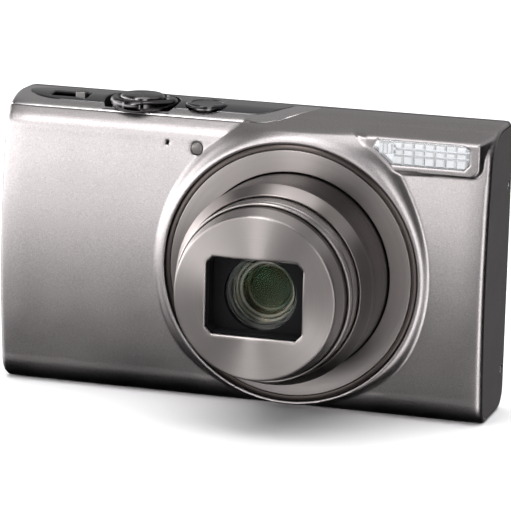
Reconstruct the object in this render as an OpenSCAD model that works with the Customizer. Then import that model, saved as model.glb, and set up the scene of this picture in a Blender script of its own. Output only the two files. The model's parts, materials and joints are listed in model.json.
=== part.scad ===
// Compact digital camera with a telescoping zoom lens.
// Origin: centre of the base face. +Z is up, +X is right seen from the front,
// and the lens points along -Y. Millimetres.

/* [Body] */
// Width across the side covers
body_w = 99.6; // [99:0.1:101]
// Height of the body without its controls
body_h = 58; // [58:0.5:60]
// Depth from the middle of the front face to the back
body_d = 20; // [20:0.1:20.5]
// Wall of the covers
wall = 1.1; // [1:0.05:1.1]
// Thickness of the two side covers
side_t = 1.1; // [1:0.05:1.1]
// How far the front face curves back at its top and base
face_bulge = 2.2; // [2:0.1:2.4]

/* [Lens] */
// Lens axis, right of the middle of the body
lens_x = 10.9; // [10.8:0.05:11]
// Lens axis above the base
lens_z = 27.6; // [27.5:0.05:27.7]
// Radius of the round hole in the front cover
lens_hole_r = 25.7; // [25.65:0.05:25.8]
// Radius of the opening that the lens comes out of
lens_mouth_r = 20.1; // [20.05:0.05:20.15]
// Width of the rectangular window in the front plate
window_w = 19.2; // [18:0.1:19.2]
// Height of the rectangular window in the front plate
window_h = 15; // [14:0.1:15]

/* [Controls] */
// Radius of the zoom lever
lever_r = 6.5; // [6.2:0.1:6.6]
// Radius of the shutter button
shutter_r = 4.5; // [4.2:0.1:4.6]
// Radius of the power button
power_r = 3; // [2.8:0.1:3.1]
// Radius of the small buttons on the back
key_r = 2.5; // [2.2:0.1:2.7]
// Radius of the control pad
pad_r = 9.5; // [9:0.1:9.8]

/* [Display] */
// Width of the display window
display_w = 65.6; // [64:0.2:65.6]
// Height of the display window
display_h = 49; // [48:0.2:49]

/* [Power] */
// Width of the battery pack
battery_w = 34.2; // [33.8:0.1:34.2]
// Thickness of the battery pack
battery_t = 5; // [4.8:0.1:5]
// Length of the battery pack
battery_l = 40.2; // [39.8:0.1:40.2]
// Width of the memory card
card_w = 24; // [23.8:0.1:24]
// Thickness of the memory card
card_t = 2.1; // [2:0.1:2.1]
// Length of the memory card
card_l = 32; // [31.6:0.1:32]

/* [Hidden] */
$fn = 64;
front_y = -body_d / 2;
back_y = body_d / 2;
end_x = body_w / 2;
seam_y = -4.8;      // front cover to rear cover, along the base
top_seam_y = 5.5;   // front and top covers to rear cover, along the top
top_seam_z = 55.9;  // front cover to top cover, along the front
deck_z = 55.7;      // floor of the recess that the zoom lever turns in
lever_pos = [-23.3, -0.6];
power_pos = [-10, -0.2];
mode_slot = [-42.2, -34.6];
mode_y = -0.4;
flash_outline = [[26.6, 53.5], [27.4, 55.3], [44.4, 55.3], [45.5, 54.4],
                 [45.5, 51.6], [44.4, 50.5], [30.2, 50.5]];
lamp_pos = [-9.4, 50.3];
mic_pos = [-15.5, 51];
tripod_x = 30;
pad_pos = [-34.3, 25];
movie_pos = [-27.5, 47.5];
play_pos = [-41, 39.5];
link_pos = [-27.6, 39.5];
menu_pos = [-34.3, 10];
display_x = 13.5;
display_z = 29.7;
battery_pos = [-47.9, -2.7, 3];
battery_size = [battery_w, battery_t, battery_l];
card_pos = [-45, 3, 3];
card_size = [card_w, card_t, card_l];
door_x = [-end_x, -15];
door_y = [-4.3, 5.4];
door_t = 1.2;
door_axis = [-3.7, 0.62];
arm_x = [-44, -22];  // left side of each arm that carries the pin of the door
arm_w = 2;
pin_r = 0.35;
strap_z = [11, 19];
strap_pos = [-48.6, 8.8];
strap_r = 0.8;
flap_y = [-4.8, 5.1];
flap_z = [44.5, 53.5];
base_screw_x = [-9, 22, 44];
base_screw_y = 2;
side_screw_y = 7.25;
right_screw_z = [8, 45];
left_screw_z = [6.5, 39];
low_z = 5;           // top of the rounded edge at the base of the front
high_z = 51.5;       // foot of the shoulder at the top of the front
low_c = [-4.3, low_z];
high_c = [1.5, high_z];
tripod_r = 2.6;      // inner radius of a quarter-inch thread
lever_recess_r = 7.6;
key_gap = 0.15;
gear_module = 0.5;
ring_teeth = 88;
pinion_teeth = 20;
gear_y = [-5.7, -4.1];
ring_pitch_r = gear_module * ring_teeth / 2;
pinion_pitch_r = gear_module * pinion_teeth / 2;
gear_angle = -34;
gear_distance = ring_pitch_r + pinion_pitch_r + 0.15;
pinion_x = lens_x + gear_distance * cos(gear_angle);
pinion_z = lens_z + gear_distance * sin(gear_angle);
// Both gears are drawn looking along +Y, where an angle runs the other way round.
// ring_phase is how far the line of centres is past the nearest ring tooth, in steps.
ring_phase = -gear_angle * ring_teeth / 360 - floor(-gear_angle * ring_teeth / 360);
pinion_turn = -gear_angle + 180 + (0.5 + ring_phase) * 360 / pinion_teeth;

// ---- shared shapes ----

// Box from its lowest corner to its highest corner
module block(low, high) {
    translate(low) cube(high - low);
}

// Cylinder along Y at [x, z]
module rod_y(pos, y0, y1, r) {
    translate([pos[0], y0, pos[1]]) rotate([-90, 0, 0]) cylinder(h = y1 - y0, r = r);
}

// Cylinder along Z at [x, y]
module rod_z(pos, z0, z1, r) {
    translate([pos[0], pos[1], z0]) cylinder(h = z1 - z0, r = r);
}

// Cylinder along X at [y, z]
module rod_x(pos, x0, x1, r) {
    translate([x0, pos[0], pos[1]]) rotate([0, 90, 0]) cylinder(h = x1 - x0, r = r);
}

// Solid of revolution about the lens axis, from [radius, y] points
module turned(points) {
    translate([lens_x, 0, lens_z]) rotate([-90, 0, 0]) rotate_extrude($fn = 96) polygon(points);
}

// Outline in X and Z, extruded along Y
module along_y(points, y0, y1) {
    translate([0, y1, 0]) rotate([90, 0, 0]) linear_extrude(y1 - y0) polygon(points);
}

// Points of an elliptical arc about c with half axes a and b
function arc(c, a, b, from, to, steps = 8) =
    [for (i = [0:steps]) let (t = from + (to - from) * i / steps) [c[0] + a * cos(t), c[1] + b * sin(t)]];

// Depth of the front face at height z
function face_y(z) = front_y + face_bulge * pow((z - 26) / 27, 2);

// Side profile of the body in Y and Z, moved inwards by t
function profile(t) = concat(
    arc([5.5, 4.5], 4.5 - t, 4.5 - t, 0, -90, 6),
    arc(low_c, low_c[0] - face_y(low_z) - t, low_z - t, 270, 180, 7),
    [for (z = [low_z + 4:6:high_z - 4]) [face_y(z) + t, z]],
    arc(high_c, high_c[0] - face_y(high_z) - t, body_h - high_z - t, 180, 90, 9),
    arc([6.5, body_h - 3.5], 3.5 - t, 3.5 - t, 90, 0, 5));

// Solid body between two X positions, moved inwards by t
module body_solid(t, x0, x1) {
    translate([x0, 0, 0]) rotate([90, 0, 90]) linear_extrude(x1 - x0) polygon(profile(t));
}

// The tube that all the covers are cut from
module shell() {
    difference() {
        body_solid(0, -end_x, end_x);
        body_solid(wall, -end_x - 1, end_x + 1);
    }
}

// Region of the top cover in plan: it ends in a curve beside the lens
module top_region(grow) {
    translate([0, 0, top_seam_z - grow]) linear_extrude(5)
        polygon(concat([[-end_x - 1, -8], [2, -8]],
                       arc([2, 6], 10 + grow, 11.5 + grow, -70, -5, 7),
                       [[12 + grow, 6], [-end_x - 1, 6]]));
}

// Recess for the zoom lever
module lever_recess() {
    rod_z(lever_pos, deck_z, body_h + 4, lever_recess_r);
}

// Gear outline with straight-sided teeth that leave backlash
function gear_points(teeth, m) = let (r = m * teeth / 2, step = 360 / teeth)
    [for (i = [0:teeth - 1]) for (k = [0:3])
        let (a = step * (i + [-0.33, -0.12, 0.12, 0.33][k]),
             q = [r - 1.1 * m, r + 0.75 * m, r + 0.75 * m, r - 1.1 * m][k])
        [q * cos(a), q * sin(a)]];

// ---- covers ----

module front_cover() color([0.67, 0.65, 0.65]) difference() {
    union() {
        difference() {
            intersection() {
                shell();
                union() {
                    block([-end_x - 1, -12, -1], [end_x + 1, seam_y, top_seam_z]);
                    block([0, -12, 40], [end_x + 1, top_seam_y, body_h + 1]);
                }
            }
            top_region(0.1);
        }
        // Lip that stands up round the lens
        difference() {
            turned([[24, -6], [lens_hole_r + 1.6, -6], [lens_hole_r + 1.6, -9.6],
                    [lens_hole_r + 1.1, -10.6], [lens_hole_r + 0.6, -10.8], [24, -10.8]]);
            block([-60, -20, -10], [60, 20, 0.1]);
        }
        // Raised block round the flash
        block([24.4, -9, 49.4], [47.6, -5.5, 56.5]);
    }
    rod_y([lens_x, lens_z], -15, -4, lens_hole_r);
    along_y([for (p = flash_outline) p + [p[0] > 36 ? 0.1 : -0.1, p[1] > 53 ? 0.1 : -0.1]], -12, -4);
    rod_y(lamp_pos, -12, -4, 1.3);
    rod_y(mic_pos, -12, -4, 0.4);
    lever_recess();
}

module rear_cover() color([0.2, 0.19, 0.2]) difference() {
    intersection() {
        shell();
        union() {
            block([-end_x - 1, seam_y + 0.1, -1], [end_x + 1, 12, 40]);
            block([-end_x - 1, top_seam_y + 0.1, 30], [end_x + 1, 12, body_h + 1]);
        }
    }
    // Display: a through window and the ledge that its pane sits on
    block([display_x - display_w / 2 + 2, 6, display_z - display_h / 2 + 2],
          [display_x + display_w / 2 - 2, 12, display_z + display_h / 2 - 2]);
    block([display_x - display_w / 2 - 0.1, back_y - 0.8, display_z - display_h / 2 - 0.1],
          [display_x + display_w / 2 + 0.1, 12, display_z + display_h / 2 + 0.1]);
    for (p = [movie_pos, play_pos, link_pos, menu_pos]) rod_y(p, 6, 12, key_r + key_gap);
    rod_y(pad_pos, 6, 12, pad_r + 0.3);
    // Battery and card door
    block([-end_x - 1, seam_y - 1, -1], [door_x[1] + 0.2, door_y[1] + 0.15, 2]);
    lever_recess();
    rod_z([tripod_x, 0], -1, 3, 4.3);
    for (x = base_screw_x) rod_z([x, base_screw_y], -1, 3, 1.45);
    strap_notch();
    for (z = strap_z) rod_z(strap_pos, z - strap_r, z + strap_r, strap_r);
}

// Notch in the rear corner that leaves the strap bar free
module strap_notch() {
    block([-end_x - 1, 6.9, strap_z[0]], [-46.2, 12, strap_z[1]]);
}

module top_cover() color([0.8, 0.79, 0.79]) difference() {
    union() {
        intersection() {
            shell();
            top_region(0);
            block([-end_x - 1, -12, top_seam_z], [end_x + 1, top_seam_y, 60]);
        }
        // Floor and wall of the lever recess
        intersection() {
            body_solid(wall + 0.05, -40, 0);
            union() {
                rod_z(lever_pos, deck_z - 1, deck_z, 8.4);
                difference() {
                    rod_z(lever_pos, deck_z - 1, 60, 8.4);
                    rod_z(lever_pos, deck_z - 2, 61, lever_recess_r);
                }
            }
        }
    }
    lever_recess();
    rod_z(lever_pos, 50, 60, 3.65);
    panel_region(0.55, 0.05);
    rod_z(power_pos, 50, 60, power_r + 0.1);
    block([mode_slot[0], mode_y - 1.4, 50], [mode_slot[1], mode_y + 1.4, 60]);
}

// The panel's plan, cut to depth t below the surface of the body
module panel_region(t, grow) {
    difference() {
        intersection() {
            body_solid(-0.2, -end_x, end_x);
            translate([0, 0, 50]) linear_extrude(10)
                polygon(concat([[-40, -3.2 - grow], [0, -3.2 - grow]],
                               arc([0, 5], 6.5 + grow, 8.2 + grow, -80, 0, 6),
                               [[-40, 5]],
                               arc([-40, 0.9], 7.4 + grow, 4.1 + grow, 90, 270, 8)));
        }
        body_solid(t, -end_x - 1, end_x + 1);
    }
}

module control_panel() color([0.05, 0.05, 0.055]) difference() {
    union() {
        difference() {
            panel_region(0.5, 0);
            difference() {
                body_solid(-1, -end_x - 1, end_x + 1);
                body_solid(0, -end_x - 2, end_x + 2);
            }
        }
        // Collar round the power button
        difference() {
            rod_z(power_pos, body_h - 0.5, body_h + 0.3, 4.2);
            rod_z(power_pos, body_h - 0.6, body_h + 1, power_r + 0.1);
        }
    }
    rod_z(lever_pos, 50, 60, lever_recess_r);
    rod_z(power_pos, 50, 60, power_r + 0.1);
    block([mode_slot[0], mode_y - 1.4, 50], [mode_slot[1], mode_y + 1.4, 60]);
}

// Plate that closes one end of the shell tube; x0 is its inner face
module side_plate(x0) {
    body_solid(wall + 0.05, x0, x0 + side_t);
}

module side_cover_right() color([0.3, 0.28, 0.29]) difference() {
    side_plate(end_x - side_t);
    for (z = right_screw_z) rod_x([side_screw_y, z], end_x - 3, end_x + 1, 1);
}

module side_cover_left() color([0.3, 0.28, 0.29]) difference() {
    side_plate(-end_x);
    for (z = left_screw_z) rod_x([side_screw_y, z], -end_x - 1, -end_x + 3, 1);
    block([-end_x - 1, flap_y[0] - 0.15, flap_z[0] - 0.15],
          [-end_x + 3, flap_y[1] + 0.35, flap_z[1] + 0.15]);
    block([-end_x - 1, -6, -1], [-end_x + 3, door_y[1] + 0.15, door_t + 0.4]);
    strap_notch();
    for (z = strap_z) rod_z(strap_pos, z - strap_r, z + strap_r, strap_r);
}

module terminal_cover() color([0.12, 0.12, 0.12])
    block([-end_x + 0.05, flap_y[0], flap_z[0]], [-end_x + 0.85, flap_y[1], flap_z[1]]);

// Two sockets, each a shell round an open slot with a tongue in it
module terminal_sockets() color([0.7, 0.7, 0.72])
    for (z = [46.4, 50.2]) {
        difference() {
            block([-48.3, -3.8, z - 0.1], [-43, 3.8, z + 2.7]);
            block([-49, -3.4, z + 0.3], [-43.6, 3.4, z + 2.3]);
        }
        block([-43.7, -2.6, z + 1], [-43.4, 2.6, z + 1.6]);
        block([-47.4, -2.6, z + 1], [-43.6, 2.6, z + 1.6]);
    }

module strap_bar() color([0.75, 0.75, 0.77])
    rod_z(strap_pos, strap_z[0] - strap_r, strap_z[1] + strap_r, strap_r);

module chassis() color([0.6, 0.6, 0.62]) difference() {
    block([-48.3, 5.75, 6.5], [48.3, 6.35, 52]);
    rod_y([lens_x, lens_z], 5, 7, 23.9);
    block([-49, 5, 10], [-45.8, 7, 20]);
}

// ---- lens ----

module lens_ring() color([0.72, 0.71, 0.7])
    turned([[lens_mouth_r, -10.15], [24.35, -10.6], [24.35, -9.3], [lens_mouth_r, -9.3]]);

module lens_ring_band() color([0.23, 0.2, 0.19])
    turned([[24.45, -10.55], [25.1, -10.5], [25.6, -10.2], [25.6, -6.2], [24.45, -6.2]]);

module lens_housing() color([0.1, 0.1, 0.1]) difference() {
    turned([[0, 5.75], [22.75, 5.75], [22.75, -9.2], [23.4, -9.2], [23.4, 6.35], [0, 6.35]]);
    rod_y([pinion_x, pinion_z], gear_y[0] - 0.3, gear_y[1] + 0.3, 5.9);
    block([lens_x - 4.2, 5, lens_z - 3.4], [lens_x + 4.2, 7, lens_z + 3.4]);
}

module cam_ring() color([0.35, 0.35, 0.37]) {
    turned([[20.75, -8.2], [21.45, -8.2], [21.45, 4.2], [20.75, 4.2]]);
    difference() {
        translate([lens_x, gear_y[0], lens_z]) rotate([-90, 0, 0]) linear_extrude(gear_y[1] - gear_y[0])
            polygon(gear_points(ring_teeth, gear_module));
        rod_y([lens_x, lens_z], -10, 0, 21.4);
    }
}

module zoom_motor() color([0.55, 0.55, 0.57]) difference() {
    rod_y([pinion_x, pinion_z], -3.6, 5.2, 3.6);
    rod_y([pinion_x, pinion_z], -5, 0.4, 0.8);
}

// Pinion and its shaft; one gap faces the cam ring
module motor_pinion() color([0.8, 0.7, 0.4]) {
    translate([pinion_x, gear_y[0], pinion_z]) rotate([-90, 0, 0]) rotate([0, 0, pinion_turn])
        linear_extrude(gear_y[1] - gear_y[0]) polygon(gear_points(pinion_teeth, gear_module));
    rod_y([pinion_x, pinion_z], gear_y[1], 0, 0.75);
}

// Barrels in the order that they slide out of each other
module barrel_outer() color([0.45, 0.43, 0.42])
    turned([[17.75, -24], [19.8, -21.2], [19.8, -7.3], [20.5, -7.3], [20.5, -6],
            [18.7, -6], [18.7, -22.8], [17.75, -22.8]]);

module barrel_middle() color([0.55, 0.53, 0.52])
    turned([[16.95, -28.8], [17.15, -29], [17.3, -29], [17.5, -28.7], [17.5, -12.9],
            [18.5, -12.9], [18.5, -12], [16.95, -12]]);

module barrel_front() color([0.4, 0.38, 0.37])
    turned([[15.9, -30.4], [16.75, -30.4], [16.75, -19], [15.9, -19]]);

// Rectangle with cut corners round the lens axis
module window_hole(w, h, y0, y1, corner) {
    along_y([for (q = [[1, 1], [-1, 1], [-1, -1], [1, -1]]) for (k = q[0] * q[1] > 0 ? [0, 1] : [1, 0])
             [lens_x + q[0] * (w / 2 - (k == 1 ? corner : 0)),
              lens_z + q[1] * (h / 2 - (k == 1 ? 0 : corner))]], y0, y1);
}

module front_plate() color([0.7, 0.68, 0.67]) difference() {
    turned([[0, -34.4], [15.7, -34.4], [15.95, -34.15], [16.75, -30.5], [15.95, -30.5],
            [15.35, -33.8], [0, -33.8]]);
    window_hole(window_w, window_h, -36, -30, 1.3);
}

// One end of the round space above or below the window, between two heights
module blade(y0, low, high, side) color([0.08, 0.08, 0.085]) intersection() {
    rod_y([lens_x, lens_z], y0, y0 + 0.3, 15.15);
    block([lens_x - 15, y0 - 1, lens_z + min(side * low, side * high)],
          [lens_x + 15, y0 + 1, lens_z + max(side * low, side * high)]);
}
module blade_upper_outer() blade(-33.65, 7.75, 16, 1);
module blade_upper_inner() blade(-33.2, 7.75, 11.6, 1);
module blade_lower_outer() blade(-33.65, 7.75, 16, -1);
module blade_lower_inner() blade(-33.2, 7.75, 11.6, -1);

module front_lens_holder() color([0.04, 0.04, 0.04]) difference() {
    turned([[0, -32.75], [15.35, -32.75], [15.35, -30.3], [15.85, -30.3], [15.85, -27], [0, -27]]);
    window_hole(window_w - 0.6, window_h - 0.6, -34, -29.8, 1.1);
    rod_y([lens_x, lens_z], -31, -26, 7.2);
}

module front_lens() color([0.15, 0.3, 0.25, 0.5]) intersection() {
    rod_y([lens_x, lens_z], -31, -27.2, 7.15);
    translate([lens_x, -10, lens_z]) sphere(r = 20, $fn = 96);
}

module rear_lens() color([0.3, 0.35, 0.4, 0.5]) {
    turned([[0, 2.4], [4, 2.3], [6.4, 2], [7.4, 2], [7.4, 4.4], [6.4, 4.4], [4, 4.1], [0, 4]]);
}

module image_sensor() color([0.1, 0.2, 0.15]) {
    block([lens_x - 4, 5.8, lens_z - 3.2], [lens_x + 4, 6.5, lens_z + 3.2]);
    block([lens_x - 11, 6.5, lens_z - 9], [lens_x + 11, 6.9, lens_z + 9]);
}

// ---- flash, lamp and microphone ----

module flash_window() color([0.9, 0.9, 0.9, 0.6]) along_y(flash_outline, -9.25, -7.4);

module flash_reflector() color([0.85, 0.85, 0.86]) difference() {
    block([28.4, -5.4, 50.6], [44.2, -1.2, 55.2]);
    block([28.9, -6, 51], [43.7, -1.8, 54.8]);
    rod_x([-3.6, 52.9], 28, 45, 1.15);
}

module flash_tube() color([0.85, 0.88, 0.9, 0.6]) rod_x([-3.6, 52.9], 28, 44.6, 1.05);

module flash_capacitor() color([0.1, 0.1, 0.12]) rod_z([43.6, -2], 6.5, 42, 4.2);

module af_lamp_lens() color([0.5, 0.48, 0.46]) rod_y(lamp_pos, -8.45, -6.4, 1.2);

module microphone() color([0.5, 0.5, 0.5]) rod_y(mic_pos, -6.5, -5.2, 2);

// ---- top controls ----

// Ring with a finger tip on its right-hand side
module zoom_lever() color([0.18, 0.18, 0.19]) difference() {
    union() {
        rod_z(lever_pos, 56, 58.5, lever_r);
        translate([lever_pos[0], lever_pos[1], 56])
            linear_extrude(2.5) polygon([[0, -lever_r], [4.9, -4.6], [7.3, -1.2], [7.3, 1.2], [4.9, 4.6], [0, lever_r]]);
        rod_z(lever_pos, 54, 56.5, 3.6);
    }
    rod_z(lever_pos, 56.6, 60, shutter_r + 0.3);
    rod_z(lever_pos, 53, 57, 1.3);
}

module shutter_button() color([0.75, 0.74, 0.74]) {
    rod_z(lever_pos, 58, 58.9, shutter_r);
    rod_z(lever_pos, 58, 59.2, shutter_r - 0.5);
    rod_z(lever_pos, 53.2, 58.4, 1.2);
}

module shutter_spring() color([0.7, 0.7, 0.72]) difference() {
    rod_z(lever_pos, 56.65, 57.95, 2.6);
    rod_z(lever_pos, 56, 58.5, 2);
}

module top_switches() color([0.15, 0.35, 0.2]) {
    block([-31, -4.5, 50], [-5, 3.5, 50.8]);
    rod_z(lever_pos, 50.8, 52.4, 2.2);
    rod_z(power_pos, 50.8, 52.4, 2.2);
}

module power_button() color([0.45, 0.44, 0.44]) {
    rod_z(power_pos, 55, 58.15, power_r);
    rod_z(power_pos, 53.1, 55.2, 1);
}

module mode_switch() color([0.6, 0.59, 0.59]) {
    block([-37.1, mode_y - 1.1, 55.9], [-35.1, mode_y + 1.1, 58.5]);
    block([-38.4, mode_y - 2.4, 55.1], [-33.8, mode_y + 2.4, 55.95]);
}

// ---- back ----

module display_window() color([0.03, 0.03, 0.035])
    block([display_x - display_w / 2, back_y - 0.75, display_z - display_h / 2],
          [display_x + display_w / 2, back_y - 0.03, display_z + display_h / 2]);

module display_panel() color([0.25, 0.27, 0.3])
    block([display_x - 31, 7, display_z - 22.6], [display_x + 31, 8.7, display_z + 22.6]);

// Round key that reaches through the cover
module key(pos) {
    rod_y(pos, 8, 10.4, key_r);
}
module movie_button() color([0.25, 0.24, 0.25]) key(movie_pos);
module playback_button() color([0.25, 0.24, 0.25]) key(play_pos);
module link_button() color([0.25, 0.24, 0.25]) key(link_pos);
module menu_button() color([0.25, 0.24, 0.25]) key(menu_pos);

module pad_carrier() color([0.2, 0.2, 0.2]) difference() {
    rod_y(pad_pos, 7.95, 8.45, 8.6);
    rod_y(pad_pos, 7, 9, 5.3);
}

module control_pad() color([0.3, 0.29, 0.3]) difference() {
    rod_y(pad_pos, 9.15, 10.5, pad_r);
    rod_y(pad_pos, 9, 11, 4.75);
}

module set_button() color([0.3, 0.29, 0.3]) rod_y(pad_pos, 8.2, 10.6, 4.3);

module button_board() color([0.12, 0.35, 0.2]) difference() {
    block([-45.2, 6.5, 6.5], [-21, 7.1, 52]);
    rod_x([side_screw_y, left_screw_z[1]], -50, -44.6, 0.8);
}

// ---- power, boards and fasteners ----

module main_board() color([0.1, 0.3, 0.18]) {
    block([-47, -6.5, 7], [-17.2, -5.8, 49]);
    block([-40, -5.8, 14], [-28, -4.7, 26]);
    block([-38, -5.8, 32], [-30, -4.9, 40]);
    block([-26, -5.8, 18], [-19, -4.6, 30]);
}

module battery() color([0.25, 0.27, 0.3])
    block(battery_pos, battery_pos + battery_size);

module battery_box() color([0.15, 0.15, 0.15]) difference() {
    block([battery_pos[0] - 0.5, -3.15, 5], [-13.2, 2.7, 44.2]);
    block([battery_pos[0] - 0.1, -2.8, 4], [-13.6, 2.4, 43.4]);
}

module battery_latch() color([0.85, 0.45, 0.1]) block([-16.4, -1, 1.6], [-13, 1, 2.85]);

module battery_door() color([0.2, 0.19, 0.2]) difference() {
    block([door_x[0], door_y[0], 0.05], [door_x[1], door_y[1], door_t]);
    for (x = arm_x) block([x - 0.3, -5, -1], [x + arm_w + 0.3, -2.5, 2]);
    rod_x(door_axis, door_x[0] - 1, door_x[1] + 1, pin_r + 0.05);
}

// Bar that slides along the base, with two arms that carry the pin of the door
module door_slider() color([0.3, 0.3, 0.3]) {
    block([-46, door_y[0], 1.6], [-18, -3.1, 2.8]);
    for (x = arm_x) block([x, door_y[0], 0.1], [x + arm_w, -3.1, 2.8]);
    rod_x(door_axis, -47, -17, pin_r);
}

module memory_card() color([0.12, 0.2, 0.45]) block(card_pos, card_pos + card_size);

module card_slot() color([0.65, 0.65, 0.67]) difference() {
    block([card_pos[0] - 0.8, 2.75, 8], [card_pos[0] + card_w + 0.8, 5.5, 36]);
    block([card_pos[0] - 0.1, 2.95, 7], [card_pos[0] + card_w + 0.1, 5.2, 35.2]);
}

// Quarter-inch socket with a plain wall
module tripod_socket() color([0.7, 0.7, 0.72]) difference() {
    union() {
        rod_z([tripod_x, 0], 0.1, 1.2, 4.2);
        rod_z([tripod_x, 0], 1.2, 6.8, 4.8);
    }
    rod_z([tripod_x, 0], 0, 5.8, tripod_r);
}

// Screw along its own axis, with a cross recess in the head
module screw(head_r, length) {
    difference() {
        union() {
            cylinder(h = 0.7, r = head_r, $fn = 32);
            cylinder(h = length, r = 0.7, $fn = 32);
        }
        translate([-head_r * 0.6, -0.15, -1]) cube([head_r * 1.2, 0.3, 1.4]);
        translate([-0.15, -head_r * 0.6, -1]) cube([0.3, head_r * 1.2, 1.4]);
    }
}

module cover_screws() color([0.6, 0.6, 0.62]) {
    for (x = base_screw_x) translate([x, base_screw_y, 0.2]) screw(1.35, 3.4);
    for (z = right_screw_z) translate([end_x - 0.15, side_screw_y, z]) rotate([0, -90, 0]) screw(0.95, 3);
    for (z = left_screw_z) translate([-end_x + 0.15, side_screw_y, z]) rotate([0, 90, 0]) screw(0.95, 3);
}

front_cover();
rear_cover();
top_cover();
control_panel();
side_cover_right();
side_cover_left();
terminal_cover();
terminal_sockets();
strap_bar();
chassis();
lens_ring();
lens_ring_band();
lens_housing();
cam_ring();
zoom_motor();
motor_pinion();
barrel_outer();
barrel_middle();
barrel_front();
front_plate();
blade_upper_outer();
blade_upper_inner();
blade_lower_outer();
blade_lower_inner();
front_lens_holder();
front_lens();
rear_lens();
image_sensor();
flash_window();
flash_reflector();
flash_tube();
flash_capacitor();
af_lamp_lens();
microphone();
zoom_lever();
shutter_button();
shutter_spring();
top_switches();
power_button();
mode_switch();
display_window();
display_panel();
movie_button();
playback_button();
link_button();
menu_button();
pad_carrier();
control_pad();
set_button();
button_board();
main_board();
battery();
battery_box();
battery_latch();
battery_door();
door_slider();
memory_card();
card_slot();
tripod_socket();
cover_screws();
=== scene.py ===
# %% [markdown]
# # A compact camera with its lens out
# The camera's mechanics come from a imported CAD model, which is loaded as a fixed frame: nothing in
# it is moved. This file gives it its looks: smooth covers, turned metal, coated glass and paint.
# Everything is in metres, +Z up, and the lens points along -Y.

# %% Load the frame
import json
import math

import bmesh
import bpy
import numpy as np
from mathutils import Matrix, Vector
from mathutils.geometry import delaunay_2d_cdt


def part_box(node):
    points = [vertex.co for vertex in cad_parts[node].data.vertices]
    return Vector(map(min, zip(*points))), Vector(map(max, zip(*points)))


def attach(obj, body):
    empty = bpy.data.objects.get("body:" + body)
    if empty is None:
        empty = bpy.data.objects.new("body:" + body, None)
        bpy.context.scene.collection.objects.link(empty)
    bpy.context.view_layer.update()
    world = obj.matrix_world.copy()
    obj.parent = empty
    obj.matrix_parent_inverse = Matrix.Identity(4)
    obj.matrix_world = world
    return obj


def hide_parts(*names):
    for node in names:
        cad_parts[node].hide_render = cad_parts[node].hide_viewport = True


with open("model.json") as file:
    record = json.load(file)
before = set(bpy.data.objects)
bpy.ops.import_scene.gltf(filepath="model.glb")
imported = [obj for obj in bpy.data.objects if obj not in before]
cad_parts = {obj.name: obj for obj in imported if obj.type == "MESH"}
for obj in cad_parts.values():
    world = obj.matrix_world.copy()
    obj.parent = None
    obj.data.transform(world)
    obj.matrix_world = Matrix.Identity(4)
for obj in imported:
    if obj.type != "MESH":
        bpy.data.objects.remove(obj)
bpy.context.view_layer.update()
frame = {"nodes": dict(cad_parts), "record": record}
scene = bpy.context.scene
MM = 0.001

# %% [markdown]
# ## Sizes taken from the frame
# The covers follow one side profile, so its few sizes are read from the CAD boxes. All the shape
# work below is in millimetres, because a camera's details are tenths of a millimetre, and each
# mesh is turned into metres as it is made.

# %% Driving sizes
def node_box(node):
    low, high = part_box(node)
    return low / MM, high / MM


front_high = node_box("front_cover")[1]
rear_low, rear_high = node_box("rear_cover")
ring_low, ring_high = node_box("lens_ring")
END_X = front_high.x
BACK_Y = rear_high.y
FRONT_Y = -BACK_Y
BODY_H = rear_high.z
LENS_X = (ring_low.x + ring_high.x) / 2
LENS_Z = (ring_low.z + ring_high.z) / 2
SEAM_Y = rear_low.y - 0.1
TOP_SEAM_Y = front_high.y
print("body", 2 * END_X, BACK_Y - FRONT_Y, BODY_H, "lens axis", LENS_X, LENS_Z)


def slot_of(node):
    for row in frame["record"]["subparts"]:
        if row["node"] == node:
            return row["material_slot"]
    raise ValueError(node)


def body_of(node):
    for body, nodes in frame["record"]["behaviour"]["bodies"].items():
        if node in nodes:
            return body
    raise ValueError(node)


# %% [markdown]
# ## The camera and the light
# A long lens from the right and a little above keeps the body's edges almost parallel. Two large
# soft panels light the paper floor and the dull surfaces, one overhead and one from the front
# left. The metal doesn't mirror them, because their square shapes would show in it. A small lamp
# that it does mirror adds a glint to its edges.

# %% Camera
CAMERA_AT = Vector((0.19175, -0.63149, 0.17396))
AZIMUTH, ELEVATION, ROLL = (math.radians(a) for a in (16.83, 12.47, 1.52))
across = math.cos(ELEVATION)
back = Vector((math.sin(AZIMUTH) * across, -math.cos(AZIMUTH) * across, math.sin(ELEVATION)))
level = Vector((0, 0, 1)).cross(back).normalized()
above = back.cross(level)
right = level * math.cos(ROLL) + above * math.sin(ROLL)
up = above * math.cos(ROLL) - level * math.sin(ROLL)
camera_data = bpy.data.cameras.new("camera")
camera_data.lens = 239.6
camera_data.sensor_width = 36
camera_data.clip_start = 0.02
camera = bpy.data.objects.new("camera", camera_data)
camera.matrix_world = Matrix((
    (right.x, up.x, back.x, CAMERA_AT.x),
    (right.y, up.y, back.y, CAMERA_AT.y),
    (right.z, up.z, back.z, CAMERA_AT.z),
    (0, 0, 0, 1)))
scene.collection.objects.link(camera)
scene.camera = camera
scene.view_settings.view_transform = "Standard"


# %% Lights
def panel_light(name, at, target, size, power):
    data = bpy.data.lights.new(name, "AREA")
    data.shape = "RECTANGLE"
    data.size, data.size_y = size
    data.energy = power
    lamp = bpy.data.objects.new(name, data)
    direction = Vector(target) - Vector(at)
    lamp.rotation_euler = direction.to_track_quat("-Z", "Y").to_euler()
    lamp.location = at
    scene.collection.objects.link(lamp)
    return lamp


def unseen_in_metal(lamp):
    lamp.visible_glossy = False
    return lamp


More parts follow.
